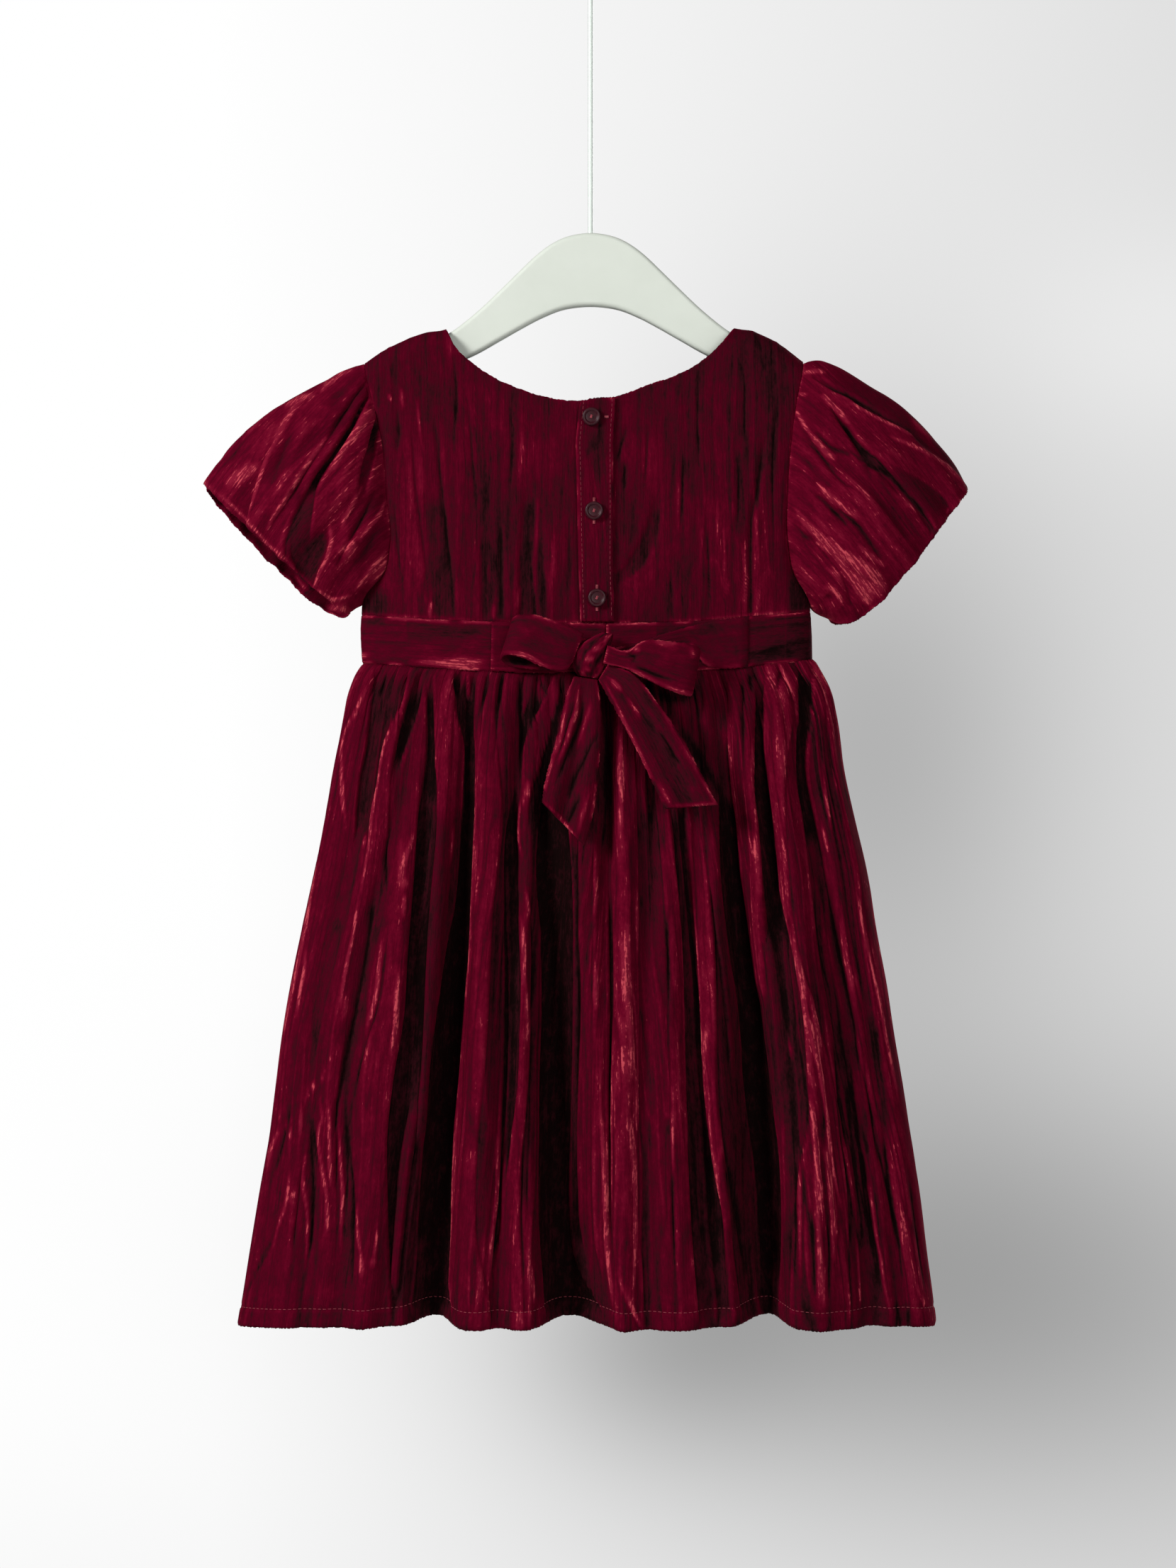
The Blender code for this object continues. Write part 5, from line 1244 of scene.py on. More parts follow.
def noise(u, v, seed):
    """Smooth random heights from -1 to 1, one cell for each whole step of u and v."""
    cells = np.random.default_rng(seed).random((NOISE_CELLS, NOISE_CELLS)) * 2 - 1
    iu, iv = np.floor(u).astype(int), np.floor(v).astype(int)
    fu, fv = u - iu, v - iv
    fu, fv = fu * fu * (3 - 2 * fu), fv * fv * (3 - 2 * fv)
    left, right, low, high = (i % NOISE_CELLS for i in (iu, iu + 1, iv, iv + 1))
    a, b, c, d = cells[left, low], cells[right, low], cells[left, high], cells[right, high]
    return a + (b - a) * fu + (c - a) * fv + (a - b - c + d) * fu * fv


def step(value, low, high):
    """0 below low and 1 above high, smooth between."""
    t = np.clip((value - low) / (high - low), 0, 1)
    return t * t * (3 - 2 * t)


def named_noise(name, u, v, seed):
    """One of the crinkles' noises."""
    across, down, number = CRINKLE_CELLS[name]
    return noise(u / across, v / down, seed + number)


def ridges(name, u, v, seed):
    """Sharp ridges along one of the crinkles' noises, 1 at their tops."""
    return 1 - np.abs(named_noise(name, u, v, seed))


def crinkle(u, v, seed):
    """The pressed crinkles that run along v: their height in mm, their change of tone, which is random
    but for a painted highlight on their crests and painted shade in thin dark lines, and their thin
    bright lines of painted glints."""
    warp = DRIFT * named_noise("drift", u, v, seed) + WOBBLE * named_noise("wobble", u, v, seed)
    wide = ridges("wide", u + warp, v, seed)
    narrow = ridges("narrow", u + warp, v, seed)
    patch = step(named_noise("patch", u, v, seed), *PATCH_FROM)
    height = WIDE_HEIGHT * wide**4 * (WIDE_CALM + (1 - WIDE_CALM) * patch)
    height = height + NARROW_HEIGHT * narrow**3 * (NARROW_CALM + (1 - NARROW_CALM) * patch)
    lines = ridges("line", u + LINE_WARP * warp, v, seed) ** LINE_SHARP
    # thin bright lines of painted glints, in patches
    bright = ridges("bright", u + warp, v, seed) ** BRIGHT_SHARP
    bright = bright * step(named_noise("bright patch", u, v, seed), *BRIGHT_FROM)
    crest = np.maximum(wide**CREST_SHARP, NARROW_CREST * narrow**CREST_SHARP) * patch
    tone = CLOUD_TONE * named_noise("cloud", u, v, seed)
    tone = tone + STREAK_TONE * named_noise("streak", u + warp, v, seed)
    # painted highlight on the crests, painted shade in the thin dark lines
    tone = tone + CREST_PAINTED_HIGHLIGHT * crest - LINE_PAINTED_SHADE * lines + CRINKLE_TONE
    return height - CRINKLE_MEAN, tone, PAINTED_GLINT_TONE * bright


# ---- Creases placed by the photo ----

def photo_place(points):
    """The photo's pixel for points in mm. For the hidden front, give them turned to the back."""
    x, y, z = np.moveaxis(points, -1, 0)
    scale = CAMERA_DISTANCE / (y + CAMERA_DISTANCE) / PIXEL
    return PHOTO_X + (x - CAMERA_X) * scale, PHOTO_Y - (z - CAMERA_Z) * scale


def path_of(text, count=STROKE_POINTS):
    """A smooth path through the named pixels."""
    spots = [[float(n) for n in spot.split(",")] for spot in text.split()]
    return np.stack(curve(spots, np.linspace(0, len(spots) - 1, count)), -1)


def strokes(points, rows):
    """Creases drawn along paths over the photo: their height in mm and their change of tone, a painted
    highlight where it is up and painted shade where it is down. Each has its own width on the side to
    the left of its path and on the right, looking down the photo."""
    px, py = photo_place(points)
    height, tone = np.zeros_like(px), np.zeros_like(px)
    drawn = [(*row[:4], path_of(text)) for row in rows for text in row[4].split(";")]
    for rise, shade, left, right, path in drawn:
        margin = STROKE_REACH * max(left, right)
        low, high = path.min(0) - margin, path.max(0) + margin
        near = (px > low[0]) & (px < high[0]) & (py > low[1]) & (py < high[1])
        if not near.any():
            continue
        spot = np.stack([px[near], py[near]], -1)
        best = np.full(len(spot), 1e9)
        reached, side = np.zeros(len(spot)), np.ones(len(spot))
        for k, (start, end) in enumerate(zip(path, path[1:])):
            run = end - start
            offset = spot - start
            t = np.clip(offset @ run / (run @ run), 0, 1)
            away = np.linalg.norm(offset - t[:, None] * run, axis=1)
            closer = away < best
            best[closer], reached[closer] = away[closer], ((k + t) / (len(path) - 1))[closer]
            side[closer] = (run[1] * offset[:, 0] - run[0] * offset[:, 1])[closer]
        taper = np.sin(math.pi * np.clip(reached, 0, 1)) ** STROKE_TAPER
        share = best / np.where(side < 0, left, right)
        core = np.exp(-(share**STROKE_SHARP)) * taper
        height[near] += rise * core
        # painted highlight where shade is above 0, painted shade where it is below
        tone[near] += shade * core
    return height, tone


def faces_of_folds(points, edges, faces, soft=FACE_SOFT):
    """The faces of the folds at each point: their height in mm, their tone, which is painted light and
    shade, and how far they count.
    """
    px, py = photo_place(points)
    edges = {name: path_of(text, EDGE_POINTS) for name, text in edges.items()}
    height, tone, share = np.zeros_like(px), np.full_like(px, FLAT_TONE), np.zeros_like(px)
    for level, rise, top, bottom, left, right in (row.values() for row in faces):
        from_left = px - np.interp(py, edges[left][:, 1], edges[left][:, 0])
        from_right = np.interp(py, edges[right][:, 1], edges[right][:, 0]) - px
        inside = step(from_left, -soft, soft) * step(from_right, -soft, soft)
        inside = inside * step(py, top - FACE_FADE, top + FACE_FADE)
        inside = inside * step(-py, -bottom - FACE_FADE, FACE_FADE - bottom)
        height += (rise - height) * inside
        tone += (level - tone) * inside
        share = np.maximum(share, inside)
    return height, tone, share


def crests(points, normal, reach, ring):
    """How far each point stands out, in mm, from the mean of those a number of columns to its sides."""
    columns = points.shape[1]
    at = np.arange(columns)
    if ring:
        before, after = (at - reach) % (columns - 1), (at + reach) % (columns - 1)
    else:
        before, after = np.clip(at - reach, 0, columns - 1), np.clip(at + reach, 0, columns - 1)
    return ((points - (points[:, before] + points[:, after]) / 2) * normal).sum(-1)


# ---- Making pieces ----

def claim(made, nodes):
    """The piece rides on the dress and stands for the CAD nodes."""
    if nodes:
        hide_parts(*nodes)
    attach(made, "root")


def lengths(points):
    """How far along each row and each column the points lie, in mm, as the sheet's mean."""
    across = np.linalg.norm(np.diff(points, axis=1), axis=2).mean(0)
    down = np.linalg.norm(np.diff(points, axis=0), axis=2).mean(1)
    return np.concatenate([[0], np.cumsum(across)]), np.concatenate([[0], np.cumsum(down)])


def normals(points, ring):
    """Unit normals of a grid of points."""
    if ring:
        wrapped = np.concatenate([points[:, -2:-1], points, points[:, 1:2]], 1)
        across = (wrapped[:, 2:] - wrapped[:, :-2]) / 2
    else:
        across = np.gradient(points, axis=1)
    return unit(np.cross(across, np.gradient(points, axis=0)))


def near_edge(u, v, ring):
    """Each point's distance in mm from the sheet's nearest free edge."""
    from_v = np.minimum(v, v[-1] - v)[:, None] + 0 * u[None, :]
    if ring:
        return from_v
    return np.minimum(from_v, np.minimum(u, u[-1] - u)[None, :])


def tube_faces(ids):
    """Quads between each ring of vertices and the next."""
    after = np.roll(ids, -1, 1)
    return np.stack([ids[:-1], after[:-1], after[1:], ids[1:]], -1).reshape(-1, 4).tolist()


def finish_mesh(name, points, faces, corners, uv, tone, finish):
    """A smooth closed mesh with the cloth's own UVs and its tone, which on velvet carries painted light
    and shade.
    """
    mesh = bpy.data.meshes.new(name)
    mesh.from_pydata((points * MM).tolist(), [], faces)
    flat = np.concatenate([np.array(face) for face in corners])
    mesh.uv_layers.new(name="cloth").data.foreach_set("uv", uv[flat].reshape(-1))
    mesh.attributes.new("tone", "FLOAT", "POINT").data.foreach_set("value", tone.astype(np.float32))
    bm = bmesh.new()
    bm.from_mesh(mesh)
    bmesh.ops.recalc_face_normals(bm, faces=bm.faces)
    bm.to_mesh(mesh)
    bm.free()
    mesh.shade_smooth()
    mesh.materials.append(finish)
    made = bpy.data.objects.new(name, mesh)
    bpy.context.scene.collection.objects.link(made)
    return made


def hard_mesh(name, points, faces, finish):
    """As finish_mesh, of an even tone, with UVs straight from the back."""
    uv, tone = points[:, [0, 2]] * MM, np.full(len(points), 0.5)
    return finish_mesh(name, points, faces, faces, uv, tone, finish)


def shell(name, outer, inner, rows, columns, uv, tone, ring, finish):
    """A closed mesh: a fine outer layer, a coarser inner layer at the picked rows and columns, and the
    edges that join them. On a ring, the last column is the first one again."""
    height, width = outer.shape[:2]
    few = (len(rows), len(columns))
    corner = [np.arange(height * width).reshape(height, width)]
    corner.append(np.arange(few[0] * few[1]).reshape(few) + height * width)
    vertex = [ids.copy() for ids in corner]
    if ring:
        for ids in vertex:
            ids[:, -1] = ids[:, 0]
    faces, corners = [], []
    for ids, spots in zip(vertex, corner):
        for source, target in ((ids, faces), (spots, corners)):
            quads = np.stack([source[:-1, :-1], source[:-1, 1:], source[1:, 1:], source[1:, :-1]], -1)
            target += quads.reshape(-1, 4).tolist()
    borders = [((0, slice(None)), columns), ((-1, slice(None)), columns)]
    if not ring:
        borders += [((slice(None), 0), rows), ((slice(None), -1), rows)]
    for where, picks in borders:
        for source, target in ((vertex, faces), (corner, corners)):
            fine, rough = source[0][where].tolist(), source[1][where].tolist()
            for k, (start, end) in enumerate(zip(picks, picks[1:])):
                target += [[rough[k], fine[j], fine[j + 1]] for j in range(start, end)]
                target.append([rough[k], fine[end], rough[k + 1]])
    points = np.concatenate([outer.reshape(-1, 3), inner.reshape(-1, 3)])
    used = np.unique(np.concatenate([ids.reshape(-1) for ids in vertex]))
    renumber = np.zeros(len(points), int)
    renumber[used] = np.arange(len(used))
    faces = [[int(renumber[i]) for i in face] for face in faces]
    return finish_mesh(name, points[used], faces, corners, uv, tone[used], finish)


def crinkle_grain(mid, ug, vg, lengthwise, lean):
    """Where each point lies across the crinkles and along them, in mm."""
    if lean is None:
        return (vg, ug) if lengthwise else (ug, vg)
    turn = math.radians(lean)
    x, y, z = np.moveaxis(mid - mid.min((0, 1)), -1, 0)
    x = x + LEAN_BY_DEPTH * np.sign(lean) * y
    return x * math.cos(turn) + z * math.sin(turn), x * math.sin(turn) - z * math.cos(turn)


def ragged_pile(mid, v, ring, seed):
    """How far the pile stands out over the first and the last row, point by point."""
    down = v[:, None] + 0 * mid[..., 0]
    ends = np.exp(-(down - v[0]) / PILE_REACH) - np.exp(-(v[-1] - down) / PILE_REACH)
    pile = PILE_EDGE * np.random.default_rng(seed + 9).random(down.shape)
    if ring:
        pile[:, -1] = pile[:, 0]
    return unit(np.gradient(mid, axis=0)) * (ends * pile)[..., None]


def painted_crest_shading(outer, normal, run, ring):
    """Painted highlight on crests and painted shade in hollows, across the columns."""
    spacing = run[-1] / (len(run) - 1)
    total = 0
    for reach, gain, most in CREST_PAINTED_SHADING:
        stand = crests(outer, normal, max(1, round(reach / spacing)), ring)
        total = total + np.clip(gain * stand, -most, most)
    return total


def cloth(name, points, facing, seed, finish, wall=WALL, amount=1.0, ring=False, creases=(),
          edge_highlight=0.0, folds=None, relief=0.0, level=FLAT_TONE, coarse=3, lengthwise=False, lean=None,
          lively=1.0, ruffle=0.0):
    """A piece of velvet on the given middle layer, which stands for the CAD node of its name. Creases
    are strokes over the photo, with their painted highlights and shade, folds the edges and faces of its
    folds, with the painted light and shade of those faces, a painted highlight brightens its folded
    edges by the amount given, relief is added to its height, level is its base tone and lively how much
    its tone changes, and ruffle is how wavy its last edge is. Its crinkles run down its columns, or
    lengthwise along its rows, or straight down but for a lean in degrees. Its tone also takes a painted
    sheen where it turns away to the sides, and painted highlights on crests and painted shade in
    hollows. Returns it, its outer layer and the normals there."""
    mid = points * np.array([1, facing, 1])
    u, v = lengths(mid)
    ug, vg = np.meshgrid(u, v)
    normal = normals(mid, ring)
    away = mid - mid.mean(1, keepdims=True) if ring else np.array([0, facing, 0])
    if (normal * away).sum() < 0:
        normal = -normal
    grain = crinkle_grain(mid, ug, vg, lengthwise, lean)
    height, crinkled, bright = crinkle(*grain, seed)
    edge = near_edge(u, v, ring)
    inside = step(edge, 0.0, EDGE_CALM)
    # painted sheen where the cloth turns away to the sides
    rim = RIM_PAINTED_SHEEN * (1 - np.abs(normal[..., 1])) ** 3

    turned = mid if ring or facing < 0 else mid * np.array([-1, -1, 1])
    if folds:
        # painted light and shade of the folds' faces
        rise, painted, share = faces_of_folds(turned, *folds)
        relief, level = relief + rise, level + (painted - level) * share
    bend, bent_tone = strokes(turned, creases)
    wave = ruffle * noise(ug / RUFFLE_CELL[0], vg / RUFFLE_CELL[1], seed + 12)
    wave = wave * np.exp(-(v[-1] - vg) / RUFFLE_REACH)
    mid = mid + normal * ((bend + relief) * inside + wave)[..., None]
    normal = normals(mid, ring) * np.sign((normals(mid, ring) * normal).sum(-1))[..., None]

    lively = lively * np.clip(DARK_LIVELY + LIVELY_GAIN * level, 0, 1)
    # painted highlight along the folded edges, broken along them
    broken = step(noise(ug / EDGE_HIGHLIGHT_CELL, vg / EDGE_HIGHLIGHT_CELL, seed + 13), *EDGE_HIGHLIGHT_BREAKS)
    tone = level + rim + crinkled * lively + bright * np.minimum(lively, 1) ** 3
    tone = tone + bent_tone * inside + edge_highlight * broken * bell(edge, EDGE_HIGHLIGHT_REACH)
    rounding = np.sqrt(np.clip(1 - (1 - np.clip(edge / wall, 0, 1)) ** 2, 0, 1))
    stands = wall / 2 * (EDGE_WALL + (1 - EDGE_WALL) * rounding) + height * amount * inside
    outer = mid + normal * stands[..., None] - ragged_pile(mid, v, ring, seed)
    # painted highlight on crests and painted shade in hollows
    if lengthwise:
        crest = painted_crest_shading(outer.swapaxes(0, 1), normal.swapaxes(0, 1), v, False).swapaxes(0, 1)
    else:
        crest = painted_crest_shading(outer, normal, u, ring)
    tone = tone + crest * inside * lively

    rows, columns = (np.unique(np.append(np.arange(0, n, coarse), n - 1)) for n in ug.shape)
    picked = np.ix_(rows, columns)
    inner = (mid - normal * wall / 2)[picked]
    uv = np.stack(grain, -1) * MM
    uv = np.concatenate([uv.reshape(-1, 2), uv[picked].reshape(-1, 2)])
    tone = np.concatenate([tone.reshape(-1), tone[picked].reshape(-1) - INSIDE_DARKER])
    made = shell(name + "_velvet", outer, inner, rows, columns, uv, np.clip(tone, 0, 1), ring, finish)
    claim(made, [name])
    return made, outer, normal


def solid(name, rings, finish, tone=None):
    """A closed solid through rings of points, each ring open, with a fan at both ends."""
    count, around = rings.shape[:2]
    ids = np.arange(count * around).reshape(count, around)
    after = np.roll(ids, -1, 1)
    ends = [count * around, count * around + 1]
    fans = [[ends[0], a, b] for a, b in zip(after[0].tolist(), ids[0].tolist())]
    fans += [[ends[1], a, b] for a, b in zip(ids[-1].tolist(), after[-1].tolist())]
    points = np.concatenate([rings.reshape(-1, 3), rings[:1].mean(1), rings[-1:].mean(1)])
    closed = np.concatenate([rings, rings[:, :1]], 1)
    u, v = lengths(closed)
    uv = np.stack(np.meshgrid(u[:-1], v), -1).reshape(-1, 2) * MM
    uv = np.concatenate([uv, [[0, 0], [0, v[-1] * MM]]])
    tone = np.full(count * around, 0.5) if tone is None else tone.reshape(-1)
    tone = np.clip(np.append(tone, [tone[:around].mean(), tone[-around:].mean()]), 0, 1)
    faces = tube_faces(ids) + fans
    return finish_mesh(name, points, faces, faces, uv, tone, finish)


def tube_rings(path, radius, sides):
    """Rings of points round a path in the plane y = 0, or nearly so."""
    along_path = unit(np.gradient(path, axis=0))
    second = unit(np.cross(along_path, [0.0, 1.0, 0.0]))
    first = np.cross(second, along_path)
    turn = round_turn(sides)
    ring = first[:, None] * np.cos(turn)[None, :, None] + second[:, None] * np.sin(turn)[None, :, None]
    return path[:, None] + ring * radius


def threads(name, starts, ends, lifts, radius, finish):
    """Many short stitches in one mesh, each an arched thread from its start to its end."""
    at = np.array(STITCH_AT)[:, None]
    slim = radius * np.array(STITCH_THICK)[:, None, None]
    turn = round_turn(STITCH_SIDES)[:, None]
    ids = np.arange(len(at) * len(turn)).reshape(len(at), len(turn))
    faces, parts = [], []
    for i, (start, end, lift) in enumerate(zip(starts, ends, lifts)):
        run = end - start
        side = unit(np.cross(run, lift))
        centre = start + at * run + np.sin(at * math.pi) * lift * STITCH_ARCH * radius
        ring = side * np.cos(turn) + lift * np.sin(turn)
        parts.append((centre[:, None] + ring[None] * slim).reshape(-1, 3))
        here = ids + ids.size * i
        faces += tube_faces(here) + [here[0].tolist(), here[-1].tolist()[::-1]]
    made = hard_mesh(name, np.concatenate(parts), faces, finish)
    claim(made, [])
    return made


def stitch_row(name, line, lift, finish, radius, pitch=3.0, length=2.0):
    """A row of running stitches along a line of surface points."""
    run = np.concatenate([[0], np.cumsum(np.linalg.norm(np.diff(line, axis=0), axis=1))])
    begin = np.arange(1.0, run[-1] - length - 1.0, pitch)

    def read(columns, at):
        return np.stack([np.interp(at, run, columns[:, k]) for k in range(3)], -1)

    lifts = unit(read(lift, begin))
    starts, ends = (read(line, at) + lifts * radius * STITCH_LIFT for at in (begin, begin + length))
    return threads(name, starts, ends, lifts, radius, finish)


# ---- The dress ----

def skirt_sheet(folds, columns, drops, seed):
    """A skirt panel's middle layer, from side seam to side seam, with its gathers. The cloth is even
    along each row."""
    angle = np.linspace(-1, 1, 2401) * math.pi / 2
    share = np.linspace(0, 1, columns)
    turn = GATHERS_SHOWN * share + GATHER_UNEVEN * noise(share * GATHER_CELLS, 0 * share, seed)
    longer = 0.5 + 0.5 * noise(share * GATHER_LONGER_CELLS, 0 * share, seed + 1)
    reach_down = GATHER_SHORTEST + GATHER_LONGER * longer
    sheet = []
    for drop in drops:
        left, right, depth = (along(SKIRT, "drop", n, drop) for n in ("left", "right", "depth"))
        x = (left + right) / 2 + (right - left) / 2 * np.sin(angle)
        oval = np.cos(angle) ** FLAT
        y = depth * oval - fold_depth(folds, x, drop) * np.clip(oval * FOLDS_TO_SIDE, 0, 1)
        run = np.concatenate([[0], np.cumsum(np.hypot(np.diff(x), np.diff(y)))])
        x, y, oval = (np.interp(share * run[-1], run, value) for value in (x, y, oval))
        normal = -unit(np.stack([np.gradient(y), -np.gradient(x)], -1))
        across, down = share * GATHER_WANDER_CELLS[0], drop / GATHER_WANDER_CELLS[1]
        wander = GATHER_WANDER * noise(across, down + 0 * share, seed + 2)
        ridge = np.abs(np.sin((turn + wander) * math.pi)) ** GATHER_ROUND - GATHER_MEAN
        swell = GATHER_HEIGHT * step(drop, *GATHER_START) * np.exp(-((drop / reach_down) ** 1.5))
        lift_off = ridge * swell * np.clip(oval * GATHERS_TO_SIDE, 0, 1)
        x = x + normal[:, 0] * lift_off
        y = y + normal[:, 1] * lift_off
        reach = drop / SKIRT_DROP
        under = np.clip(x * (1 - HEM_SPREAD * reach), *WAIST_ENDS)
        top = along(WAISTBAND, "x", "bottom", under)
        lift = HEM_LIFT * fold_depth(folds, x, SKIRT_DROP) * reach**2
        even = WAIST_SEAM_Z - SKIRT_DROP + HEM_RISE * np.sqrt(np.clip(y / depth, 0, 1))
        z = (top - SEAM_GAP) + (even + lift - top + SEAM_GAP) * reach
        sheet.append(np.stack([x, y, z], -1))
    return np.array(sheet)


def build_skirt(velvet, thread):
    """Both skirt panels, gathered into the waistband, with their hems' stitches."""
    drops = graded(SKIRT_ROWS)
    panels = (
        ("skirt_back", BACK_FOLDS, -1, 860, 11, (0.52, 0.405), "waistband_back_left"),
        ("skirt_front", FRONT_FOLDS, 1, 560, 23, (0.52, 0.405), "waistband_front"),
    )
    for name, folds, facing, columns, seed, flat, held_by in panels:
        points = skirt_sheet(folds, columns, drops, seed)
        x = facing * points[..., 0]
        below = drops[:, None] - HEM_STITCH + 0 * x
        relief = HEM_STANDS * step(below, 0, HEM_RIDGE_AT) - HEM_DENT * bell(below, HEM_DENT_REACH)
        deep = np.array([fold_depth(folds, row[:, 0], drop) for row, drop in zip(points, drops)])
        # painted shade, deeper in the folds
        level = SKIRT_TONE - FOLD_PAINTED_SHADE * np.clip(deep, 0, FOLD_DEEPEST)
        # painted highlight along the hem's ridge
        level = level + HEM_RIDGE_PAINTED_HIGHLIGHT * bell(below - HEM_RIDGE_AT, 1.0)
        more, calm = SKIRT_SIDE_LIVELY, SKIRT_SIDE_CALM
        lively = 1 + more[0] * step(-x, *more[1:]) - calm[0] * step(x, *calm[1:])
        back = facing < 0
        made, outer, normal = cloth(
            name, points, facing, seed, velvet, creases=SKIRT_CREASES if back else (),
            folds=(SKIRT_EDGES, SKIRT_FACES) if back else None, relief=relief, level=level,
            coarse=4, lively=lively,
        )
        row = int(np.argmin(np.abs(drops - HEM_STITCH)))
        hem = stitch_row(name + "_hem_stitches", outer[row], normal[row], thread, HEM_THREAD)


def build_bodice(velvet):
    """The bodice's front and both backs, with its darts drawn from the photo in relief and in painted
    shade.
    """
    rows = graded(BODICE_ROWS)
    left_end, right_start = closure_shares(-370.0)
    panels = (
        ("bodice_back_left", NECK_BACK, -1.0, left_end, 210, -1, 31, (0.17, 0.19), 0.024),
        ("bodice_back_right", NECK_BACK, right_start, 1.0, 190, -1, 37, (0.16, 0.19), 0.021),
        ("bodice_front", NECK_FRONT, -1.0, 1.0, 330, 1, 41, (0.30, 0.19), 0.04),
    )
    for name, neck, first, last, count, facing, seed, flat, area in panels:
        points = bodice_panel(neck, first, last, count, rows)
        x, _y, z = np.moveaxis(points, -1, 0)
        patches = sum(part * noise(x / across, z / down, number)
                      for across, down, number, part in BODICE_PATCHES)
        made, _outer, _normal = cloth(
            name, points, facing, seed, velvet, amount=0.4, creases=BODICE_CREASES, edge_highlight=0.5,
            folds=(BODICE_EDGES, BODICE_FACES, DART_SOFT),
            level=BODICE_TONE + BODICE_PATCH_TONE * patches, lean=0, lively=0.85,
        )


def waistband_sheet(first, last, count, rows):
    """A waistband's middle layer between two shares across."""
    shares = np.linspace(first, last, count)
    x0, _depth = body_points(shares, np.full(count, (WAIST_TOP_Z + WAIST_SEAM_Z) / 2))
    top, bottom = (along(WAISTBAND, "x", n, x0) for n in ("top", "bottom"))
    sheet = []
    for v in np.linspace(0, 1, rows):
        z = top + (bottom - top) * v
        x, y = body_points(shares, z)
        sheet.append(np.stack([x, y, z], -1))
    return np.array(sheet)


def build_waistband(velvet):
    """The waistband's front and both backs, crinkled along their length."""
    left_end, right_start = closure_shares(-450.0)
    panels = (
        ("waistband_back_left", -1, left_end, 200, -1, 51, (0.145, 0.031)),
        ("waistband_back_right", right_start, 1, 180, -1, 53, (0.13, 0.031)),
        ("waistband_front", -1, 1, 300, 1, 57, (0.275, 0.031)),
    )
    for name, first, last, count, facing, seed, flat in panels:
        made, _outer, _normal = cloth(
            name, waistband_sheet(first, last, count, 30), facing, seed, velvet, amount=0.3,
            creases=BAND_CREASES, folds=(BAND_EDGES, BAND_FACES), edge_highlight=0.9, level=BAND_TONE,
            lengthwise=True, lively=0.8,
        )


def build_sleeves(velvet):
    """Both puff sleeves, gathered at the head, with wavy openings."""
    sides = (
        ("left", SLEEVE_LEFT, SLEEVE_FOLDS_LEFT, -SLEEVE_LEAN, 61),
        ("right", SLEEVE_RIGHT, SLEEVE_FOLDS_RIGHT, SLEEVE_LEAN, 67),
    )
    for side, rows, folds, lean, seed in sides:
        points = sleeve_ring(rows, folds, 380, list(graded(SLEEVE_ROWS)))
        made, _outer, _normal = cloth(
            "sleeve_" + side, points, 1, seed, velvet, amount=0.5, ring=True, creases=SLEEVE_CREASES,
            edge_highlight=0.3, level=SLEEVE_TONE, folds=(SLEEVE_EDGES, SLEEVE_FACES), lean=lean, lively=0.7,
            ruffle=2.0,
        )


def build_bow(velvet):
    """The sash: both ties on the waistband, and the bow's loops, tails and knot."""
    fold = STRIP_FOLD
    strips = (
        ("tie_left", tie_points(TIE_LEFT, 30, 90), 0.46, 0.2, 71),
        ("tie_right", tie_points(TIE_RIGHT, 30, 130), 0.34, 1.05, 73),
        ("bow_loop_left", strip_points(LOOP_LEFT, 36, 150, 0.0), 0.40, 0.6, 75),
        ("bow_loop_right", strip_points(LOOP_RIGHT, 36, 160, 0.0), 0.52, 0.7, 77),
        ("bow_tail_left", strip_points(TAIL_LEFT, 48, 110, fold["bow_tail_left"]), 0.36, 0.75, 79),
        ("bow_tail_right", strip_points(TAIL_RIGHT, 48, 110, fold["bow_tail_right"]), 0.32, 0.8, 83),
    )
    right_tie = strips[1][1]
    from_end = right_tie[..., 0].max() - right_tie[..., 0]
    right_tie[..., 1] -= TIE_SUNK * bell(from_end, TIE_SUNK_REACH)
    for name, points, level, edge_highlight, seed in strips:
        # the tie's painted edge highlight fades out where it goes into its seam
        if name == "tie_right":
            edge_highlight = edge_highlight * step(from_end, *TIE_DARK_END)
        made, _outer, _normal = cloth(
            name, points, -1, seed, velvet, wall=TIE_WALL, amount=0.3, creases=BOW_CREASES, edge_highlight=edge_highlight,
            level=level, coarse=2, lengthwise=True, lively=0.7,
        )
    build_knot(velvet)


def build_knot(velvet):
    """The bow's knot, its creases winding round it."""
    key = numbered(KNOT)
    turn = round_turn(120)[None]
    at = np.linspace(0, len(KNOT) - 1, 80)[:, None]
    x, z, width, depth, out = (
        along(key, "at", n, at) for n in ("x", "z", "half_width", "half_depth", "out")
    )
    swirl = turn * KNOT_CREASES + at * KNOT_SWIRL
    crease = 1 - KNOT_SHARPER * KNOT_CREASE * (0.5 + 0.5 * np.cos(swirl)) ** 2
    fine = KNOT_FINE * noise(at * 2 + 0 * turn, turn * 5 + 0 * at, 91)
    px = x + (width + fine) * np.cos(turn) * crease
    py = -(out + (depth + fine) * np.sin(turn) * crease)
    pz = z - KNOT_LEAN * width * np.cos(turn) * crease
    # painted light and shade across the creases and on the fine crinkles
    tone = KNOT_TONE + KNOT_CREASE_PAINTED_SHADING * np.cos(swirl + KNOT_CREASE_TURN) + KNOT_FINE_PAINTED_SHADING * fine
    made = solid("bow_knot_velvet", np.stack([px, py, pz], -1), velvet, tone)
    claim(made, ["bow_knot"])


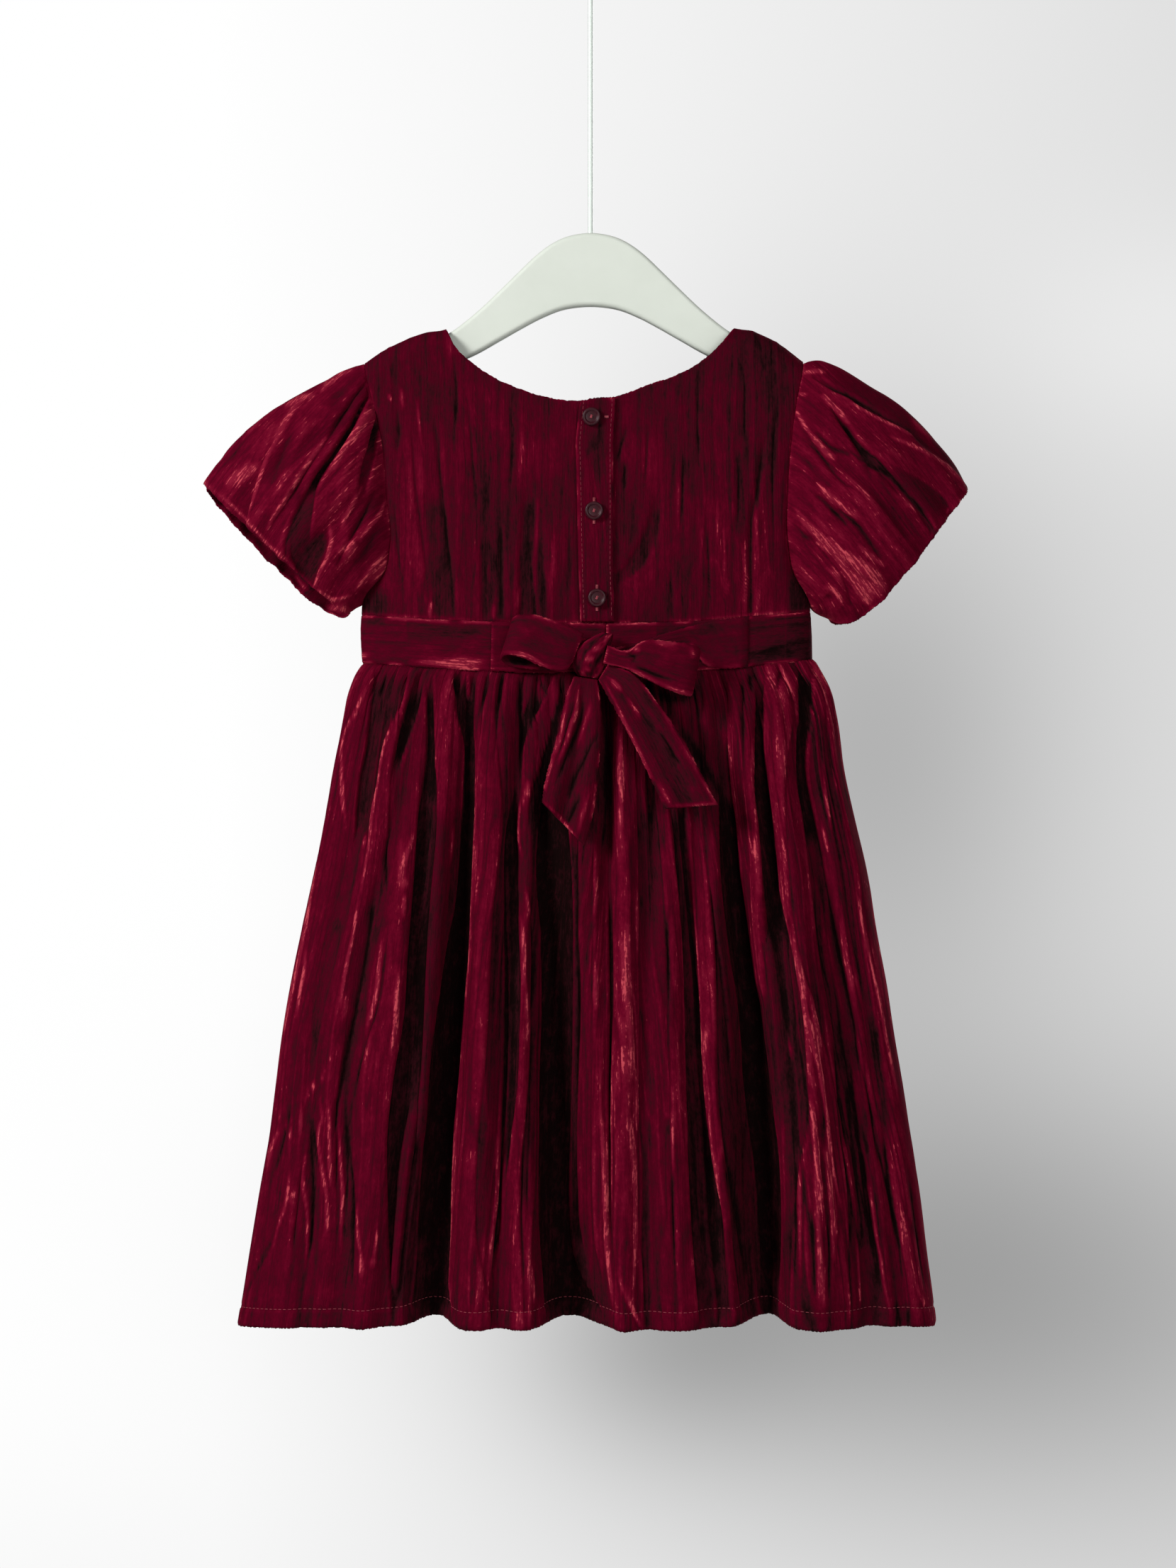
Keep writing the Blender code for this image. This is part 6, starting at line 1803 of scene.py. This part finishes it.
def build_placket(velvet, thread):
    """The button band. Returns how far its face stands out from the bodice's middle layer."""
    lift = WALL / 2 + CLEAR + PLACKET_WALL / 2
    top, low = PLACKET[0]["z"], PLACKET[-1]["z"]
    share = np.linspace(0, 1, PLACKET_COLUMNS)
    sheet = []
    for z in np.linspace(top, low, 150):
        left, right = (straight(PLACKET, "z", n, z) for n in ("left", "right"))
        sheet.append(band_points(np.linspace(left, right, PLACKET_COLUMNS), 0 * share + z, lift))
    points = np.array(sheet)
    below = top - points[..., 2]
    points[..., 2] -= PLACKET_CORNER * np.exp(-np.abs(below) / PLACKET_CORNER_REACH) * (1 - share) ** 4
    made, outer, normal = cloth(
        "placket", points, -1, 43, velvet, wall=PLACKET_WALL, amount=0.3, edge_highlight=0.4,
        level=PLACKET_TONE, coarse=2,
    )
    for side, n in (("left", PLACKET_STITCH_COLUMN), ("right", -PLACKET_STITCH_COLUMN)):
        name = "placket_stitches_" + side
        stitch_row(name, outer[:, n], normal[:, n], thread, PLACKET_THREAD)
    return lift + PLACKET_WALL / 2


def button_profile():
    """The button's half profile with its corners rounded: radius and height."""
    at = np.linspace(0, len(BUTTON_PROFILE) - 1, 50)
    profile = [
        np.interp(at, range(len(BUTTON_PROFILE)), [row[n] for row in BUTTON_PROFILE])
        for n in ("radius", "height")
    ]
    for _ in range(3):
        for values in profile:
            values[1:-1] = (values[:-2] + 2 * values[1:-1] + values[2:]) / 4
    return np.maximum(profile[0], 0.05), profile[1]


def build_buttons(surface, plastic, thread):
    """The buttons on the placket's face, each with its thread and its hole's ends."""
    radius, height = (values[:, None] for values in button_profile())
    turn = round_turn(72)
    for row in BUTTONS:
        depth = float(band_points(np.array(row["x"]), np.array(row["z"]), surface)[1]) + BUTTON_GAP
        px = row["x"] + radius * np.cos(turn)
        pz = row["z"] + radius * np.sin(turn)
        py = -(depth + height + 0 * turn)
        name = "button_" + row["name"]
        made = solid(name + "_turned", np.stack([px, py, pz], -1), plastic)
        claim(made, [name])
        starts, ends = [], []
        for k in range(BUTTON_WRAPS):
            angle = BUTTON_WRAP_FROM + k * BUTTON_WRAP_STEP
            reach = np.array([math.cos(angle), 0, math.sin(angle)]) * BUTTON_WRAP_REACH
            centre = np.array([row["x"], -(depth + BUTTON_FACE) - BUTTON_WRAP_RISE * k, row["z"]])
            starts.append(centre - reach)
            ends.append(centre + reach)
        outwards = np.tile([0.0, -1.0, 0.0], (BUTTON_WRAPS, 1))
        threads(name + "_thread", starts, ends, outwards, BUTTON_THREAD, thread)
        build_buttonhole(row, surface, thread)


def build_buttonhole(row, surface, thread):
    """The satin stitches of the buttonhole's two ends, beside the button."""
    starts, ends = [], []
    for end in (-1, 1):
        for k in range(HOLE_STITCHES):
            along_hole = end * (HOLE_FROM + k * HOLE_PITCH)
            for aside, target in ((-HOLE_HALF, starts), (HOLE_HALF, ends)):
                across, up = (aside, along_hole)
                if row["name"] == "top":  # the top hole lies level, the others stand upright
                    across, up = HOLE_ASIDE + along_hole, aside
                x, z = np.array(row["x"] + across), np.array(row["z"] + up)
                target.append(band_points(x, z, surface + HOLE_LIFT) * np.array([1, -1, 1]))
    outwards = np.tile([0.0, -1.0, 0.0], (len(starts), 1))
    threads("buttonhole_" + row["name"], starts, ends, outwards, HOLE_THREAD, thread)


def board_rings():
    """The hanger board's rings, from its back face over the rounded edge to its front face."""
    half = [(row["x"], row["z"]) for row in (*BOARD_UPPER, *BOARD_TIP, *BOARD_LOWER)]
    outline = half + [(-x, z) for x, z in reversed(half[1:-1])]
    closed = outline[-2:] + outline + outline[:3]
    tip, low = len(BOARD_UPPER) + 1, len(half) - 1
    turns = (0, tip, low, 2 * low - tip, 2 * low)
    at = np.concatenate([np.linspace(a, b, 106)[:-1] for a, b in zip(turns, turns[1:])])
    x, z = curve(closed, at + 2)
    z = z + BOARD_TOP_Z
    ahead = unit(np.stack([np.roll(x, -1) - np.roll(x, 1), np.roll(z, -1) - np.roll(z, 1)], -1))
    half_thick = BOARD_THICK / 2
    edge = [
        (BOARD_ROUNDING * (1 - math.sin(a)), -half_thick + BOARD_ROUNDING * (1 - math.cos(a)))
        for a in np.linspace(0, math.pi / 2, 8)
    ]
    edge = [(BOARD_FACE_INSET, -half_thick)] + edge
    edge += [(inset, -y) for inset, y in reversed(edge)]
    return np.array([
        np.stack([x + ahead[:, 1] * inset, np.full(len(x), y), z - ahead[:, 0] * inset], -1)
        for inset, y in edge
    ])


def build_hanger(paint, steel):
    """The board, and the rod that bends into the hook."""
    rings = board_rings()
    count, around = rings.shape[:2]
    ids = np.arange(count * around).reshape(count, around)
    faces = tube_faces(ids)
    half, quarter = around // 2, around // 4
    for end in (ids[0].tolist(), ids[-1].tolist()):  # the flat faces, in strips across the board
        for side in (end[:half + 1], [end[0]] + end[:half - 1:-1]):
            for i in range(quarter - 1):
                faces.append([side[i], side[i + 1], side[half - i - 1], side[half - i]])
            faces.append(side[quarter - 1:quarter + 2])
    board = hard_mesh("hanger_board_painted", rings.reshape(-1, 3), faces, paint)
    claim(board, ["hanger_board"])

    radius = HOOK_RADIUS + ROD_RADIUS
    centre_z = ROD_RADIUS - radius
    hook_low = centre_z - radius
    spots = [(0.0, z) for z in np.linspace(BOARD_TOP_Z - ROD_SOCKET, hook_low - 20, 12)]
    spots += [(row["x"], hook_low + row["z"]) for row in ROD_BEND]
    for degrees in np.linspace(HOOK_START, HOOK_END, 25):
        angle = math.radians(degrees)
        spots.append((radius * math.cos(angle), centre_z + radius * math.sin(angle)))
    x, z = curve(spots, np.linspace(0, len(spots) - 1, 160))
    rod = solid("hanger_rod_painted", tube_rings(np.stack([x, 0 * x, z], -1), ROD_RADIUS, 20), steel)
    claim(rod, ["hanger_rod"])


# ---- Materials ----

class Graph:
    """The nodes of a material or a world. Its values are sockets or plain numbers."""

    def __init__(self, tree):
        self.nodes, self.links = tree.nodes, tree.links

    def noise(self, source, scale, detail=3.0, roughness=0.6):
        """Noise of the given number of cells to a metre, each way."""
        mapping = self.nodes.new("ShaderNodeMapping")
        mapping.inputs["Scale"].default_value = scale
        self.links.new(source, mapping.inputs["Vector"])
        made = self.nodes.new("ShaderNodeTexNoise")
        made.inputs["Scale"].default_value = 1.0
        made.inputs["Detail"].default_value = detail
        made.inputs["Roughness"].default_value = roughness
        self.links.new(mapping.outputs["Vector"], made.inputs["Vector"])
        return made.outputs["Fac"]

    def calc(self, operation, *values, clamp=False):
        made = self.nodes.new("ShaderNodeMath")
        made.operation = operation
        made.use_clamp = clamp
        for socket, value in zip(made.inputs, values):
            if isinstance(value, (int, float)):
                socket.default_value = value
            else:
                self.links.new(value, socket)
        return made.outputs[0]

    def blend(self, value, gain, added, clamp=False):
        """value * gain + added."""
        return self.calc("MULTIPLY_ADD", value, gain, added, clamp=clamp)

    def ramp(self, value, stops):
        made = self.nodes.new("ShaderNodeValToRGB")
        ramp = made.color_ramp
        while len(ramp.elements) < len(stops):
            ramp.elements.new(0.5)
        for element, (at, colour) in zip(ramp.elements, stops):
            element.position = at
            element.color = (*colour, 1)
        self.links.new(value, made.inputs["Fac"])
        return made.outputs["Color"]

    def bump(self, height, distance, strength, shader):
        made = self.nodes.new("ShaderNodeBump")
        made.inputs["Distance"].default_value = distance
        made.inputs["Strength"].default_value = strength
        self.links.new(height, made.inputs["Height"])
        self.links.new(made.outputs["Normal"], shader.inputs["Normal"])


def new_material(name):
    """An empty material, its graph and its shader."""
    made = bpy.data.materials.new(name)
    made.use_nodes = True
    return made, Graph(made.node_tree), made.node_tree.nodes["Principled BSDF"]


def velvet_material():
    """Crushed velvet: noises change its tone, and painted glints of the fibres show where they add up.
    """
    made, graph, shader = new_material("crushed velvet")
    where = graph.nodes.new("ShaderNodeUVMap")
    where.uv_map = "cloth"
    tone = graph.nodes.new("ShaderNodeAttribute")
    tone.attribute_name = "tone"
    streaks, pile, mottle, rough = (
        graph.noise(where.outputs["UV"], *noise_sizes) for noise_sizes in VELVET_NOISES.values()
    )
    rough = graph.blend(rough, ROUGH_GAIN, ROUGH_FROM, clamp=True)
    lined = graph.calc("MULTIPLY", graph.calc("SUBTRACT", streaks, 0.5), rough)
    mottled = graph.blend(mottle, VELVET_MOTTLE, tone.outputs["Fac"])
    mottled = graph.calc("SUBTRACT", mottled, VELVET_MOTTLE / 2)
    base = graph.blend(lined, VELVET_STREAKS, mottled)
    base = graph.blend(pile, VELVET_PILE, base)
    base = graph.calc("SUBTRACT", base, VELVET_PILE / 2, clamp=True)
    # Painted glints: where tone and noises add up, the colour turns to the highlight colour
    glint = graph.blend(streaks, GLINT_STREAKS, mottled)
    glint = graph.blend(pile, GLINT_PILE, glint)
    glint = graph.blend(glint, GLINT_GAIN, GLINT_FROM, clamp=True)
    mix = graph.nodes.new("ShaderNodeMix")
    mix.data_type = "RGBA"
    graph.links.new(glint, mix.inputs["Factor"])
    graph.links.new(graph.ramp(base, VELVET_TONES), mix.inputs[6])
    mix.inputs[7].default_value = (*VELVET_GLINT, 1)
    graph.links.new(mix.outputs[2], shader.inputs["Base Color"])
    graph.links.new(graph.blend(glint, GLINT_SMOOTHER, VELVET_ROUGHNESS), shader.inputs["Roughness"])
    shader.inputs["Specular IOR Level"].default_value = VELVET_SHINE
    shader.inputs["Sheen Weight"].default_value = SHEEN
    shader.inputs["Sheen Roughness"].default_value = SHEEN_ROUGHNESS
    shader.inputs["Sheen Tint"].default_value = SHEEN_TINT
    graph.bump(graph.blend(pile, PILE_RELIEF, streaks), RELIEF_DEPTH, RELIEF_STRENGTH, shader)
    return made


def plain_material(name):
    """A smooth finish of the table, with faint variation."""
    dark, light, roughness, metallic, grain, relief, shine = FINISHES[name]
    stops = zip(FINISH_RAMP.get(name, USUAL_RAMP), (dark, light))
    made, graph, shader = new_material(name)
    where = graph.nodes.new("ShaderNodeTexCoord").outputs["Object"]
    cloudy = graph.noise(where, (grain,) * 3)
    graph.links.new(graph.ramp(cloudy, list(stops)), shader.inputs["Base Color"])
    graph.links.new(graph.blend(cloudy, 0.1, roughness - 0.05), shader.inputs["Roughness"])
    shader.inputs["Metallic"].default_value = metallic
    shader.inputs["Specular IOR Level"].default_value = shine
    graph.bump(graph.noise(where, (grain * 9,) * 3, 2.0), relief, 0.5, shader)
    return made


# ---- Stage, light and camera ----

def build_stage():
    """A wide round floor, far below the photo's edge."""
    bm = bmesh.new()
    bmesh.ops.create_circle(bm, cap_ends=True, segments=96, radius=FLOOR_RADIUS)
    mesh = bpy.data.meshes.new("floor")
    bm.to_mesh(mesh)
    bm.free()
    floor = bpy.data.objects.new("floor", mesh)
    floor.location = (0, 0, FLOOR_Z)
    bpy.context.scene.collection.objects.link(floor)
    mesh.materials.append(plain_material("floor"))


def build_lights():
    """The area lights, aimed at the dress."""
    for name, (place, size, power) in LIGHTS.items():
        data = bpy.data.lights.new(name, "AREA")
        data.shape = "RECTANGLE"
        data.size = data.size_y = size
        data.energy = power
        made = bpy.data.objects.new(name, data)
        made.location = place
        aim = Vector(LIGHT_AIM) - Vector(place)
        made.rotation_euler = aim.to_track_quat("-Z", "Y").to_euler()
        bpy.context.scene.collection.objects.link(made)


def build_world():
    """A white studio with painted shade that turns it grey to the right, and the dress's soft shadow
    painted low on the right. It lights the dress evenly and weakly."""
    world = bpy.data.worlds.new("studio")
    bpy.context.scene.world = world
    world.use_nodes = True
    graph = Graph(world.node_tree)
    nodes, links = graph.nodes, graph.links
    nodes.clear()
    split = nodes.new("ShaderNodeSeparateXYZ")
    links.new(nodes.new("ShaderNodeTexCoord").outputs["Generated"], split.inputs[0])
    x, _y, z = split.outputs
    # painted shade across the backdrop, then the dress's painted shadow in patches
    shade = graph.blend(graph.calc("MAXIMUM", x, BACKDROP_FROM), BACKDROP_FALL, BACKDROP_BASE)
    for depth, centre_x, centre_z, reach_x, reach_z in BACKDROP_PAINTED_SHADOW:
        dx, dz = (
            graph.calc("MULTIPLY", graph.calc("SUBTRACT", value, centre), 1 / reach)
            for value, centre, reach in ((x, centre_x, reach_x), (z, centre_z, reach_z))
        )
        square = graph.blend(dz, dz, graph.calc("MULTIPLY", dx, dx))
        shade = graph.blend(graph.calc("POWER", math.exp(-1), square), depth, shade)
    light = graph.calc("MAXIMUM", graph.calc("SUBTRACT", 1.0, shade), BACKDROP_LEAST)
    seen = nodes.new("ShaderNodeBackground")
    links.new(light, seen.inputs["Color"])
    ambient = nodes.new("ShaderNodeBackground")
    ambient.inputs["Color"].default_value = (1, 1, 1, 1)
    ambient.inputs["Strength"].default_value = AMBIENT
    path = nodes.new("ShaderNodeLightPath")
    mix = nodes.new("ShaderNodeMixShader")
    links.new(path.outputs["Is Camera Ray"], mix.inputs[0])
    links.new(ambient.outputs[0], mix.inputs[1])
    links.new(seen.outputs[0], mix.inputs[2])
    links.new(mix.outputs[0], nodes.new("ShaderNodeOutputWorld").inputs["Surface"])


def build_camera():
    """A camera level with the dress's middle, which sees the photo's frame."""
    data = bpy.data.cameras.new("camera")
    data.lens = CAMERA_LENS
    data.sensor_width = CAMERA_SENSOR
    data.clip_end = 50.0
    camera = bpy.data.objects.new("camera", data)
    camera.location = (CAMERA_X * MM, -CAMERA_DISTANCE * MM, CAMERA_Z * MM)
    camera.rotation_euler = (math.pi / 2, 0, 0)
    bpy.context.scene.collection.objects.link(camera)
    bpy.context.scene.camera = camera


build_camera()
velvet = velvet_material()
thread, plastic, paint, steel = (
    plain_material(n) for n in ("thread", "button plastic", "sage paint", "painted steel")
)
build_bodice(velvet)
placket_face = build_placket(velvet, thread)
build_buttons(placket_face, plastic, thread)
build_waistband(velvet)
build_skirt(velvet, thread)
build_sleeves(velvet)
build_bow(velvet)
build_hanger(paint, steel)
build_stage()
build_world()
build_lights()
bpy.context.scene.view_settings.view_transform = "Standard"
